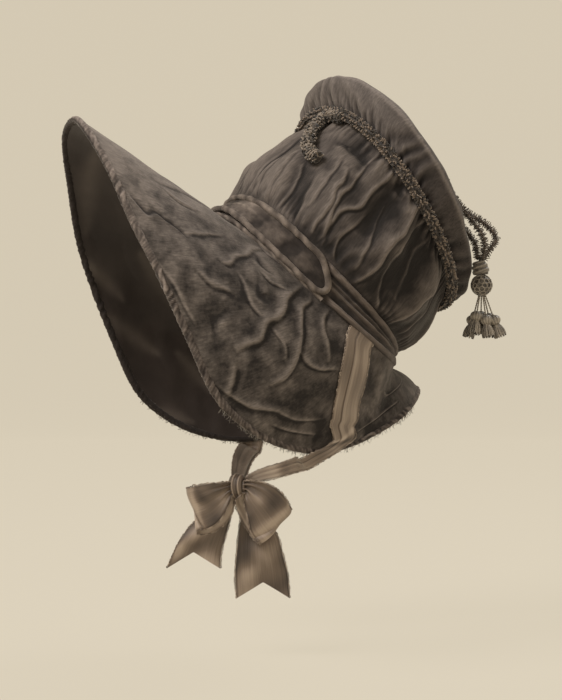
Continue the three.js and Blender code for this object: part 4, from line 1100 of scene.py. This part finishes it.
# Loose end of the cord: its spare end, of one thicker strand wound with curls of thread, laid in a
# loop on the crown and curled under at its tip, where it is sewn down.
CORD_LOOP = np.array([  # turn and reach on the crown
    (27, .92), (20, .91), (14.5, .87), (15.8, .76), (21.2, .645), (26.2, .56), (32.5, .51), (38, .51)])
LOOP_RADIUS, LOOP_LIFT, LOOP_POINTS = 3.4, 1.4, 120
CURL_RADIUS, CURL_THREAD, CURL_PITCH, CURL_POINTS = LOOP_RADIUS + 1.3, 0.62, 2.3, 16


def curls(line, side, normal, radius, thread, pitch, each, sides=5, seed=0, ragged=0.07):
    """Thread wound in a close helix round a line, with uneven curls, and the dark core inside it.
    Its points are the line plus r (cos p, sin p) in the section's two directions."""
    run = run_along(line)
    turns = max(round(run[-1] / pitch), 2)
    step = np.arange(turns * each + 1)
    marks = np.linspace(0, run[-1], len(step))
    centre, across, up = at_lengths(marks, run, line, side, normal)
    across, up = unit(across), unit(up)
    phase = 2 * np.pi * step / each
    draw = np.random.default_rng(seed)
    loose, slip = (np.interp(step / each, np.arange(turns + 1),
                             np.append(draw.normal(0, ragged * k, turns), 0)) for k in (1, 2.5 * pitch))
    ray = spokes(phase, across, up)
    coil = (centre + ray * ((radius - thread) * (1 + loose))[:, None]
            + np.cross(up, across) * (slip * np.sin(phase))[:, None])
    # Painted highlight and shade: each turn of thread is pale on the half that faces the up way and dark on
    # the other half.
    tone = 0.75 * np.maximum(np.sin(phase), 0) ** 1.5 + 0.2 * np.sin(phase * 0.137 + seed)
    wound = threads(coil[None], thread, ray[None], sides, tone=tone[None])
    core = tube(centre[::4], across[::4], up[::4], np.full((len(centre[::4]), 6), radius - 2 * thread),
                tone=0.0)
    return wound, core


places = spline(CORD_LOOP, np.linspace(0, len(CORD_LOOP) - 1, LOOP_POINTS), pull=0.5)
normal = outward(crown_form, *places.T)
on_wall = crown_form(*places.T) + normal * (LOOP_RADIUS + LOOP_LIFT)
_, across, up = section_ways(on_wall, normal)
loop_cord = raise_mesh(
    "crown_gimp_end",
    *curls(on_wall, across, up, CURL_RADIUS, CURL_THREAD, CURL_PITCH, CURL_POINTS, seed=91, ragged=0.16),
    gimp_loops(on_wall, across, up, 2.2, LOOP_RADIUS + 2.2, 2.3, 7, 0.52, 95))
pale_chenille = silk_thread("chenille_pale", (0.014, 0.0105, 0.0085), (0.27, 0.218, 0.172))
loop_cord.data.materials.append(pale_chenille)
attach(loop_cord, "root")
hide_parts("crown_cord_loop")


# Tassel: three chenille strands hang from the tip into a wrapped neck, over a ball covered in
# needle-lace and six small tassels on silk strings. All is silk thread.
STRAND_RADIUS, STRAND_CORE, STRAND_THREAD, STRAND_PITCH = 2.75, 1.6, 0.4, 1.3
HAIR_THREAD, HAIRS_PER_MM, HAIR_SPIN = 0.42, 4.5, 2.4
STRANDS = {  # (turn, reach) where it lies on the tip, then points through which it hangs
    "tassel_strand_upper": (((80, .82), (97, .80), (110, .76)), (
        (50.5, 117, 54), (52, 127, 48.5), (54, 136, 42), (55, 141.5, 35.5), (55, 141, 29.5),
        (54, 137, 25.2), (53.8, 134.2, 21.2), (54, 132, 16.8))),
    "tassel_strand_middle": (((88, .76), (103, .735), (115, .70)), (
        (55.5, 116.5, 50.5), (57.5, 123, 42), (58.8, 128, 34), (59, 129.8, 27.5),
        (58.2, 129.2, 21.4), (57, 129.3, 16.8))),
    "tassel_strand_lower": (((84, .91), (110, .86), (127, .78), (134, .71)), (
        (48.5, 125.5, 32), (50, 127.5, 26.5), (51, 127.2, 21.4), (52.3, 128, 16.8))),
}
BALL_MIDDLE, BALL_RADIUS = np.array([54.5, 129.5, -3]), 8.4
UPRIGHT, NECK_TILT = np.array([0, 0, 1.0]), unit(np.array([-0.16, -0.2, 1.0]))
NECK_PROFILE = [  # radius and height
    (2.0, -0.6), (4.9, -0.3), (5.0, 3), (4.4, 6.5), (3.2, 8.6), (2.2, 10), (2.0, 12), (0.6, 12.6)]
NECK_WRAPS = [(2.1, 5.3, 2.1), (5.6, 5.1, 1.9), (8.6, 4.2, 1.4)]  # height, radius and thickness
WRAP_POINTS, WRAP_SIDES = 60, 18
NET_RING, NET_THREAD, NET_POINTS = 1.95, 0.3, 14
NET_ROWS = np.radians(np.arange(-70, 71, 22.5))
DROPS = [  # where each small tassel's skirt ends, and its greatest radius
    (55.5, 121.5, -41.5, 5.4), (61.4, 131.6, -43, 5.0), (61.7, 142.7, -44, 5.0), (47.3, 121.8, -43, 4.6),
    (49.9, 131.5, -41.5, 4.5), (54.1, 140, -41.5, 4.4)]
BEAD_RADIUS, BEAD_HALF, BEAD_SIDES = 4.7, 4.1, 48
STRING_TURNS, STRING_POINTS, STRING_RADIUS, STRING_THREAD = 5, 40, 0.3, 0.34
FRINGE, FRINGE_THREAD = 34, 0.46

strands = {}
for number, (name, (lying, hanging)) in enumerate(STRANDS.items()):
    lying = np.array(lying, float).T
    on_face = tip_form(*lying) + outward(tip_form, *lying) * (STRAND_RADIUS + 3 * FIT)
    points = np.concatenate([on_face, hanging])
    line = evenly(spline(points, np.linspace(0, len(points) - 1, 300), pull=0.5), 1.0)
    ahead, across, up = section_ways(line, (1.0, 0.12, 0.05))
    wound = curls(line, across, up, STRAND_CORE, STRAND_THREAD, STRAND_PITCH, 8, sides=4, seed=100 + number)
    run = run_along(line)
    draw = np.random.default_rng(110 + number)
    hairs = int(run[-1] * HAIRS_PER_MM)
    at = np.linspace(0.6, run[-1] - 0.6, hairs)
    foot, side, top, way = at_lengths(at, run, line, across, up, ahead)
    ray = spokes(np.arange(hairs) * HAIR_SPIN + draw.normal(0, 0.25, hairs), side, top)
    reach_out = draw.uniform(1.7, 2.9, hairs)[:, None]
    root = foot + ray * 1.1
    lean = way * draw.normal(0, 0.35, hairs)[:, None]
    hair = np.stack([root, root + (ray + lean) * reach_out], 1)
    tufts = threads(hair, HAIR_THREAD, np.broadcast_to(way[:, None], hair.shape), taper=np.array([1.0, 0.6]),
                    tone=np.stack([np.zeros(hairs), draw.uniform(0.35, 1.0, hairs)], 1))
    strands[name] = raise_mesh(name + "_chenille", *wound, tufts)
    strands[name].data.materials.append(chenille)
    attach(strands[name], "root")
    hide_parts(name)


def ways_across(axis):
    """Two directions square to an axis and to each other."""
    side = unit(np.cross(axis, (0.35, 0.9, 0.2)))
    return side, np.cross(axis, side)


def lathe(profile, sides, origin, axis, ripples=0, ripple=0.0, **fields):
    """Round shell from (radius, height) rows, its radius waved by ripple times cos(ripples a)."""
    profile = np.array(profile, float)
    angle = full_turn(sides)
    radius = profile[:, :1] * (1 + ripple * np.cos(ripples * angle))[None, :]
    points = (origin + profile[:, 1][:, None, None] * axis
              + radius[..., None] * spokes(angle, *ways_across(axis))[None])
    faces = grid_faces(len(profile), sides, False, True)[0]
    return shell(points * MM, [faces, *end_faces(len(profile), sides)], **fields)


neck_foot = BALL_MIDDLE + UPRIGHT * (BALL_RADIUS + FIT)
neck_parts = [lathe(NECK_PROFILE, 28, neck_foot, UPRIGHT, 14, 0.05, tone=0.1)]
angle, section = full_turn(WRAP_POINTS), full_turn(WRAP_SIDES)[None, :]
side = unit(np.cross(NECK_TILT, (0.3, 1, 0)))
ray = spokes(angle, side, np.cross(NECK_TILT, side))
for rise, size, thick in NECK_WRAPS:
    line = neck_foot + NECK_TILT * rise + ray * (size - 0.35 * thick)
    ahead = unit(np.roll(line, -1, 0) - np.roll(line, 1, 0))
    # Painted highlight and shade: each wrap is pale on its ribs and on one side, and dark in the grooves
    # between ribs.
    ribs = np.cos(6 * section + 2 * angle[:, None])
    neck_parts.append(tube(line, ray, np.cross(ahead, ray), thick * (1 + 0.07 * ribs), True,
                           tone=0.12 + 0.22 * ribs + 0.3 * np.cos(section - 0.5)))
neck = raise_mesh("tassel_neck_wraps", *neck_parts)

net_rings = []
for row, latitude in enumerate(NET_ROWS):
    count = int(round(2 * np.pi * BALL_RADIUS * math.cos(latitude) / (2 * NET_RING + 0.15)))
    for k in range(count):
        longitude = 2 * np.pi * (k + 0.5 * (row % 2)) / count
        ray = np.array([math.cos(latitude) * math.cos(longitude),
                        math.cos(latitude) * math.sin(longitude), math.sin(latitude)])
        side = unit(np.cross(ray, (0.01, 0.02, 1.0)))
        ray = unit(ray + 0.03 * np.array([math.sin(5 * k + row), math.cos(7 * k - row), math.sin(3 * k)]))
        size = NET_RING * (1 + 0.12 * math.sin(11 * k + 3 * row))
        ring = spokes(full_turn(NET_POINTS), side, np.cross(ray, side))
        net_rings.append(unit(ray * BALL_RADIUS + size * ring))
net_rings = np.array(net_rings)
draw = np.random.default_rng(131)
net = threads(BALL_MIDDLE + net_rings * (BALL_RADIUS - 0.15), NET_THREAD, net_rings, 5, closed=True,
              tone=draw.uniform(0.3, 1.1, len(net_rings)))
angle = np.linspace(-np.pi / 2, np.pi / 2, 25)[1:-1]
floss = lathe(np.stack([np.cos(angle), np.sin(angle)], 1) * (BALL_RADIUS - 0.55), 60, BALL_MIDDLE, UPRIGHT,
              30, 0.012, tone=0.05)
ball = raise_mesh("tassel_ball_net", floss, net)

angle = np.linspace(-np.pi / 2, np.pi / 2, 15)[1:-1]
bead = np.stack([BEAD_RADIUS * np.cos(angle), BEAD_HALF * np.sin(angle)], 1)
# Painted highlight: a pale band a little above the bead's middle, with alternating stripes round it.
bead_tone = (0.15 + 0.5 * np.cos(angle - 0.4)[:, None] ** 2
             + 0.28 * np.cos(np.arange(BEAD_SIDES) * np.pi / 2))
drops = []
for number, (x, y, z, radius) in enumerate(DROPS):
    end = np.array([x, y, z], float)
    aim = unit(end - BALL_MIDDLE)
    start = BALL_MIDDLE + aim * (BALL_RADIUS - 0.2)
    head = end - aim * (14 + 0.8 * math.cos(3 * number))
    side, other = ways_across(aim)
    string = start + aim * np.linspace(0, np.linalg.norm(head - start) - 2, STRING_POINTS)[:, None]
    turns = np.linspace(0, STRING_TURNS * 2 * np.pi, STRING_POINTS)
    parts = []
    for phase, tone in ((0, 0.35), (np.pi, 0.9)):
        twist = string + STRING_RADIUS * spokes(turns + phase, side, other)
        parts.append(threads(twist[None], STRING_THREAD, np.broadcast_to(side, twist.shape)[None], 5,
                             tone=tone))
    parts.append(lathe(bead, BEAD_SIDES, head, aim, 12, 0.03, tone=bead_tone))
    draw = np.random.default_rng(140 + number)
    ray = spokes(full_turn(FRINGE) + draw.normal(0, 0.05, FRINGE), side, other)
    fall = np.linspace(0, 1, 7)
    fall_length = draw.uniform(9.6, 11.6, FRINGE)
    flare = radius * (0.38 + 0.6 * np.sin(fall * 1.9))
    line = (head + aim * 2.6 + aim * (fall_length[:, None] * fall[None])[..., None]
            + ray[:, None] * (flare - 0.3)[None, :, None])
    parts.append(threads(line, FRINGE_THREAD, np.broadcast_to(ray[:, None], line.shape), 5,
                         tone=draw.uniform(0.1, 1.0, FRINGE)))
    inner = [(0.4, 2.4), (radius * 0.36, 2.8), (radius * 0.8, 7.5), (radius * 0.8, 11.4), (0.4, 11.5)]
    parts.append(lathe(inner, 20, head, aim, tone=0.0))
    drops.append(raise_mesh(f"tassel_drop_{number + 1}_silk", *parts))

tassel_silk = silk_thread("tassel_silk", (0.02, 0.015, 0.012), (0.37, 0.318, 0.256), roughness=0.45,
                          sheen=0.3)
TASSEL_PIECES = {"tassel_neck": neck, "tassel_ball": ball,
                 **{f"tassel_drop_{k + 1}": drop for k, drop in enumerate(drops)}}
for node, piece in TASSEL_PIECES.items():
    piece.data.materials.append(tassel_silk)
    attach(piece, "root")
    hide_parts(node)


# Ties: silk ribbon 40 mm wide with a picot edge, sewn under the band on each side and folded
# lengthwise. The left one lies on the brim, bends past its edge and comes in under it. The right one
# turns under the edge at once. Both then run free to the knot.
RIBBON_WIDTH, RIBBON_THICK, TIE_LIFT, TIE_RISE, TIE_OVER_LIFT = 40, 0.28, 1.3, 3.2, 4.4
TIE_ROWS, TIE_COLUMNS = 280, 56
TIE_BENDS, TIE_TURNS_UNDER = (0.7, 12), (0.93, 15)  # last reach on the brim, and stations up to it
BEND_STATION, BEND_SLANT = 11.2, 1.5  # where the left tie's bend crosses its back edge, and its slant
PICOT_SPACING, PICOT_SIZE, PICOT_THREAD = 2.3, 1.15, 0.42
TIE_TURNS = np.array([133.0, 137.0, 141.0])  # where the right tie's edges and middle cross the edge
TIE_OVER = np.radians([72, 35, 2])  # angles round the brim's edge, from its outer face onward
TIE_SECTION = np.array([  # across from the front edge (0 to 1), lift in millimetres
    (1.0, .30), (.82, .38), (.6, .36), (.42, .4), (.34, .5), (.32, .36), (.35, .2), (.42, .14),
    (.43, .04), (.38, .0), (.2, .12), (.05, .18), (.0, .0), (.04, -.26), (.3, -.3), (.6, -.3), (.93, -.3)])
LEFT_RUN = [  # left edge, then right edge: bent on the brim, past its edge and in under it
    (82.3, -8.5, -116.8, 77.2, 10.2, -116.4), (84.6, -12.3, -120, 80.5, -1, -123),
    (86.6, -19, -123.2, 84.6, -8.5, -126.5), (87.6, -27.5, -126, 86.6, -21, -132.2),
    (79.6, -34.6, -131.4, 80.4, -26.9, -137), (59.8, -28.7, -131.4, 60.2, -25.3, -140.4),
    (38, -26, -135.2, 38, -25, -144.8), (17, -28.8, -139.8, 17, -28.2, -149.2),
    (1, -35.5, -144.8, 1, -35.5, -153.4), (-2.2, -43.5, -149.5, -2.2, -43.5, -157.5)]
RIGHT_RUN = [  # x, y, z, width, lean of the width: 180 has its front edge level and ahead
    (-76, -9, -132.5, 16, 158), (-66, -16, -133.5, 16, 152), (-52, -25, -137, 15, 150),
    (-36, -34, -142, 14, 150), (-20, -42, -147.5, 12, 148), (-6.5, -49, -153, 9, 145)]


def tie_stations(side, run):
    """Left edge, middle, right edge and outward direction of a tie at places along it. A run of six
    numbers a row gives both edges. One of five gives the middle, and the tie turns under first."""
    run = np.array(run, float)
    bent = run.shape[1] == 6
    reach = np.linspace(0.0, *(TIE_BENDS if bent else TIE_TURNS_UNDER))[:, None]
    front, back = (np.interp(reach, TIE_ON_BRIM[:, 0], TIE_ON_BRIM[:, k]) for k in (1, 2))
    at = side * np.concatenate([front, (front + back) / 2, back], 1)
    reach = np.broadcast_to(reach, at.shape)
    out = outward(brim_form, at, reach, -1)
    lift = TIE_LIFT + TIE_RISE * np.clip((reach - 0.7) / 0.23, 0, 1) ** 2
    lying = np.concatenate([brim_form(at, reach) + out * lift[..., None], out[:, 1:2]], 1)
    if bent:
        left, right = run[:, :3], run[:, 3:]
        middle = (left + right) / 2
        along = unit(np.gradient(np.concatenate([lying[-1:, 1], middle]), axis=0)[1:])
        out = unit(np.cross(along, unit(right - left))) * side
        return np.concatenate([lying, np.stack([left, middle, right, out], 1)])
    centre, onward, over = edge_frame(side * TIE_TURNS)
    out = spokes(TIE_OVER[:, None], onward, over)
    turned = np.concatenate([centre + out * TIE_OVER_LIFT, out[:, 1:2]], 1)
    along = unit(np.gradient(run[:, :3], axis=0))
    level = unit(np.stack([-along[:, 1], along[:, 0], 0 * along[:, 0]], 1)) * side
    upright = unit(np.cross(along, level)) * -side
    lean = np.radians(run[:, 4:])
    across = level * np.cos(lean) + upright * np.sin(lean)
    half, out = run[:, 3:4] / 2, unit(np.cross(along, across)) * side
    free = np.stack([run[:, :3] - across * half, run[:, :3], run[:, :3] + across * half, out], 1)
    return np.concatenate([lying, turned, free])


def picots(edge, away, normal, seed):
    """Thread loops along a ribbon's edge: edge + w cos(t) along it + s sin(t) away from it."""
    run = run_along(edge)
    count = int(run[-1] / PICOT_SPACING)
    draw = np.random.default_rng(seed)
    at = (np.arange(count) + 0.5) * run[-1] / count + draw.normal(0, 0.15, count)
    foot, *ways = at_lengths(at, run, edge, np.gradient(edge, axis=0), away, normal)
    ahead, way, up = (unit(each) for each in ways)
    t = np.linspace(0, np.pi, 8)[None, :, None]
    stretch = draw.uniform(0.6, 1.25, (count, 1, 1))
    lean = ahead * draw.normal(0, 0.35, (count, 1))
    lines = (foot[:, None] + ahead[:, None] * np.cos(t) * PICOT_SPACING * 0.42
             + (way + lean)[:, None] * (np.sin(t) * PICOT_SIZE * stretch - 0.2))
    return threads(lines, PICOT_THREAD, np.broadcast_to(up[:, None], lines.shape),
                   tone=draw.uniform(0.3, 1.0, count))


def ribbon_shell(grid, tone):
    """Closed thin shell on both sides of a grid of points, rows along the ribbon."""
    rows, columns = grid.shape[:2]
    normal = unit(np.cross(np.gradient(grid, axis=0), np.gradient(grid, axis=1)))
    half = normal * RIBBON_THICK / 2
    both = np.concatenate([grid + half, (grid - half)[:, ::-1]], 1)
    along = run_along(grid[:, columns // 2])
    step = np.arange(2 * columns + 1)
    v = np.minimum(step, 2 * columns - step) * RIBBON_WIDTH * MM / columns
    k = np.arange(columns - 1)
    strip = np.stack([k, k + 1, 2 * columns - 2 - k, 2 * columns - 1 - k], 1)
    return grid_shell(both, np.append(along, along[-1]) * MM, v, (False, True),
                      [strip[:, ::-1], strip + (rows - 1) * 2 * columns],
                      tone=np.concatenate([tone, tone[:, ::-1]], 1))


def silk_ribbon(name, low, body, high, streaks):
    """Ribbon silk: fine threads and lengthwise streaks with a soft lustre, darker where its tone
    field is low and paler where it is high."""
    made, tree, shader = new_material(name, 0.4, Sheen_Weight=0.25, Sheen_Roughness=0.3,
                                      Sheen_Tint=(0.9, 0.82, 0.72, 1), Specular_IOR_Level=0.45)
    woven = add_node(tree, "Group", {"Thread": 0.0005, "Depth": 0.00005}, node_tree=weave)
    slub = maths(tree, "SUBTRACT", woven.outputs["Slub"], 0.5)
    level = maths(tree, "MULTIPLY_ADD", slub, streaks, field(tree, "tone"))
    dark = blend(tree, span(tree, level, 0.0, 0.5), low, body)
    pale = blend(tree, span(tree, level, 0.5, 1.0), dark, high)
    tree.links.new(pale, shader.inputs["Base Color"])
    emboss(tree, shader, woven.outputs["Height"], 0.7)
    return made


ribbon_silk = silk_ribbon("ribbon_silk", (0.055, 0.039, 0.029), (0.195, 0.146, 0.11), (0.43, 0.345, 0.27),
                          0.75)
for name, side, run in (("tie_left", 1, LEFT_RUN), ("tie_right", -1, RIGHT_RUN)):
    stations = tie_stations(side, run)
    rows = spline(stations.reshape(len(stations), 12), np.linspace(0, len(stations) - 1, TIE_ROWS))
    left, middle, right, out = (rows[:, None, 3 * k:3 * k + 3] for k in range(4))
    section = spline(TIE_SECTION, np.linspace(0, len(TIE_SECTION) - 1, TIE_COLUMNS))
    a, fold = section[:, 0][None, :, None], section[:, 1][None, :, None]
    base = left * (2 * a * a - 3 * a + 1) + middle * (4 * a - 4 * a * a) + right * (2 * a * a - a)
    grid = base + unit(out) * (fold + 0.12 * crumple(base, 26, 151)[..., None])
    a = section[:, 0][None, :]
    # Painted shade along the lengthwise fold and at the back edge; on the left tie a painted highlight runs
    # across the bend, with a painted shadow line just past it.
    tone = 0.52 + 0.26 * crumple(base * (1, 1, 0.6), 34, 152) + 0.1 * np.cos(2 * np.pi * 2.2 * a + 0.8)
    tone = tone - 0.5 * bell(a, 0.03, 0.31) - 0.3 * bell(a, 0.04, 1)
    place = np.linspace(0, len(stations) - 1, TIE_ROWS)[:, None] - BEND_STATION - BEND_SLANT * (1 - a)
    tone = tone + (side > 0) * (0.5 * bell(place, 0.25) - 0.35 * bell(place, 0.4, 0.7))
    back_edge = picots(grid[:, 0], grid[:, 0] - grid[:, 2], out[:, 0], seed=153)
    front = np.argmin(section[:, 0])
    front_edge = picots(grid[:, front], grid[:, front] - grid[:, front - 3], out[:, 0], seed=154)
    tie = raise_mesh(name + "_ribbon", ribbon_shell(grid, tone), back_edge, front_edge)
    tie.data.materials.append(ribbon_silk)
    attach(tie, "root")
    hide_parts(name)


# Bow: the ties' ends, knotted in two loops and two tails with notched ends. The ribbon is gathered
# where it enters the knot, and the pale back of each loop shows below its front.
BOW_TURN = math.radians(67)
KNOT_MIDDLE, KNOT_HALF = np.array([0, -51, -156.0]), (7.0, 9.2, 8.0)
KNOT_AROUND, KNOT_ALONG = 96, 45
LOOP_ROWS, LOOP_COLUMNS, TAIL_ROWS = 170, 44, 120
bow_across = np.array([math.cos(BOW_TURN), math.sin(BOW_TURN), 0])
bow_toward = np.array([math.sin(BOW_TURN), -math.cos(BOW_TURN), 0])
LOOPS = {  # across, up, depth towards the viewer, width, lean of the width from upright
    "bow_loop_front": [(-4, -1, 5, 9, 0), (-8, -2.5, 6.5, 13, 0), (-15.5, -7.5, 9, 24, -10),
                       (-24, -13, 10, 32, -17), (-30.5, -15.5, 9, 33, -21), (-33.5, -16.5, 5, 33, -22),
                       (-30.5, -18.3, 1, 35, -21), (-23.5, -17.5, -.5, 35, -17), (-15, -12.5, .5, 28, -10),
                       (-8, -3.4, 2.2, 13, 0), (-4, -1.5, 2.5, 9, 0)],
    "bow_loop_back": [(4, -1, 5, 9, 0), (8, -1.5, 6.5, 13, 2), (12.5, -5, 8.5, 22, 16),
                      (19.6, -12, 10, 30, 24), (27.5, -22, 9, 35, 32), (32, -28.5, 5, 34, 42),
                      (25.5, -24, 1, 36.5, 32), (16.6, -15, 0, 34, 24), (9.5, -7.6, 1, 26, 16),
                      (7.5, -2, 2.4, 13, 2), (4, -1.5, 2.5, 9, 0)],
}
TAILS = {  # left and right edge, up, depth
    "bow_tail_front": [(-6.4, -.4, -8.5, -3.2), (-19, -4.2, -17, -7), (-33, -6.5, -28, -6),
                       (-42, -9.5, -39, -4), (-48, -12.4, -50, -5), (-53.7, -13.6, -63, -7)],
    "bow_tail_back": [(.4, 6.4, -8.5, -3.2), (3, 15, -18, -7), (1, 29, -36, -6), (-.6, 34, -52, -3),
                      (-1.7, 37.8, -68, -5), (-.8, 39.3, -86, -8)],
}
TAIL_NOTCH = 12
LOOP_BULGE = (1.8, 4.5)  # how far the corners of the front and the back loop round off
TAIL_TONE = (0.52, 0.38)


def in_bow(across, up, depth):
    """Point of the bow's own plane, in millimetres."""
    across, up, depth = (np.asarray(x, float)[..., None] for x in (across, up, depth))
    return KNOT_MIDDLE + bow_across * across + UPRIGHT * up + bow_toward * depth


bow_silk = silk_ribbon("bow_silk", (0.042, 0.029, 0.0215), (0.155, 0.113, 0.083), (0.4, 0.315, 0.245), 0.5)
a = np.linspace(-0.5, 0.5, LOOP_COLUMNS)[None, :]
edge_dark = bell(np.abs(a), 0.022, 0.5)
for number, (name, rows) in enumerate(LOOPS.items()):
    away = -1 if number == 0 else 1
    last = len(rows) - 1
    place = np.linspace(0, last, LOOP_ROWS)[:, None]
    rows = spline(rows, place[:, 0])
    centre = in_bow(rows[:, 0], rows[:, 1], rows[:, 2])
    along = unit(np.gradient(centre, axis=0))
    lean = np.radians(rows[:, 4])[:, None]
    across = UPRIGHT * np.cos(lean) + bow_across * np.sin(lean)
    across = unit(across - along * (across * along).sum(1, keepdims=True))
    out = unit(np.cross(along, across))
    from_knot = (np.abs(rows[:, 0]) - 6)[:, None]
    from_end = np.abs(rows[:, 0]).max() - np.abs(rows[:, 0])[:, None]
    gather = np.cos(2 * np.pi * 3.3 * a + 0.9 * number) + 0.4 * np.cos(2 * np.pi * 6.1 * a + 2)
    swell = np.cos(2 * np.pi * 1.25 * a + 1) * smoothstep(from_knot, 0, 8)
    height = 1.1 * gather * np.exp(-np.maximum(from_knot, 0) / 7) + 0.7 * swell
    height = height * (1 - 0.7 * bell(from_end, 6))
    corner = (2 * np.abs(a)) ** 4 * bell(from_end, 8)
    grid = (centre[:, None] + across[:, None] * (a * rows[:, 3:4])[..., None]
            + out[:, None] * height[..., None])
    grid = grid - bow_across * away * (LOOP_BULGE[number] * corner)[..., None]
    front = place < last / 2
    # Painted highlight and shade: pale on the gathers' crests and dark between them, darker near the knot,
    # and a pale strip near each loop's outer turn with darker shade just inside it.
    tone = 0.56 + 0.22 * height - 0.35 * np.exp(-np.maximum(from_knot, 0) / 5)
    tone = tone + 0.45 * bell(from_end, 2.4, 2.5) - 0.3 * bell(from_end, 5, 10)
    tone = np.where(front, tone, 0.95) + 0.12 * crumple(grid, 16, 165) - 0.3 * edge_dark
    piece = raise_mesh(name + "_ribbon", ribbon_shell(grid, tone),
                       picots(grid[:, 0], -across, out, seed=170 + number),
                       picots(grid[:, -1], across, out, seed=174 + number))
    piece.data.materials.append(bow_silk)
    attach(piece, "root")
    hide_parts(name)

a = np.linspace(0, 1, LOOP_COLUMNS)[None, :]
edge_dark = bell(np.abs(a - 0.5), 0.03, 0.5)
for number, (name, rows) in enumerate(TAILS.items()):
    t = np.linspace(0, 1, TAIL_ROWS)[:, None]
    left, right, rise, depth = np.split(spline(rows, (len(rows) - 1) * t[:, 0]), 4, axis=1)
    rise = rise + TAIL_NOTCH * (1 - np.abs(2 * a - 1)) * t ** 3
    wave = np.cos(2 * np.pi * (0.8 * a + 1.25 * t - 0.3 * number))
    height = 1.2 * np.cos(2 * np.pi * 3 * a + number) * np.exp(-6 * t) + 1.3 * wave * smoothstep(t, 0.05, 0.4)
    grid = in_bow(left + (right - left) * a, rise, depth + height)
    # Painted highlight and shade: pale on the waves' crests, dark in their troughs, and darker near the knot.
    tone = TAIL_TONE[number] + 0.3 * wave - 0.3 * np.exp(-6 * t) + 0.14 * crumple(grid, 24, 180 + number)
    tone = tone - 0.35 * edge_dark + 0.1 * smoothstep(t, 0.5, 0.9)
    toward = np.broadcast_to(bow_toward, (TAIL_ROWS, 3))
    piece = raise_mesh(name + "_ribbon", ribbon_shell(grid, tone),
                       picots(grid[:, 0], grid[:, 0] - grid[:, 3], toward, seed=184 + number),
                       picots(grid[:, -1], grid[:, -1] - grid[:, -4], toward, seed=188 + number))
    piece.data.materials.append(bow_silk)
    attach(piece, "root")
    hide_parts(name)

around = full_turn(KNOT_AROUND)[:, None]
a = np.linspace(-1, 1, KNOT_ALONG)[None, :]
barrel = (1 - np.abs(a) ** 2.6) ** (1 / 2.4)
slant = a + 0.55 * np.sin(around + 0.1)
ridge = 0.055 * np.cos(2 * np.pi * 1.35 * slant + 0.6) + 0.03 * np.cos(2 * np.pi * 3.1 * slant + 1)
size = barrel * (1 + ridge)
knot_points = in_bow(KNOT_HALF[0] * a + 0 * around, KNOT_HALF[1] * size * np.cos(around),
                     KNOT_HALF[2] * size * np.sin(around))
# Painted highlight and shade: pale on the knot's ridges, dark in its grooves and towards its ends.
knot = raise_mesh("bow_knot_ribbon", grid_shell(
    knot_points, np.linspace(0, 0.05, KNOT_AROUND + 1), np.linspace(0, 0.014, KNOT_ALONG + 1),
    (True, False), tone=0.45 + 5.5 * ridge * barrel - 0.6 * (1 - barrel)))
close_poles(knot)
knot.data.materials.append(bow_silk)
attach(knot, "root")
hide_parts("bow_knot")


size = {"cad": [list(v) for v in cad_box], "visual": [list(v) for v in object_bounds()]}
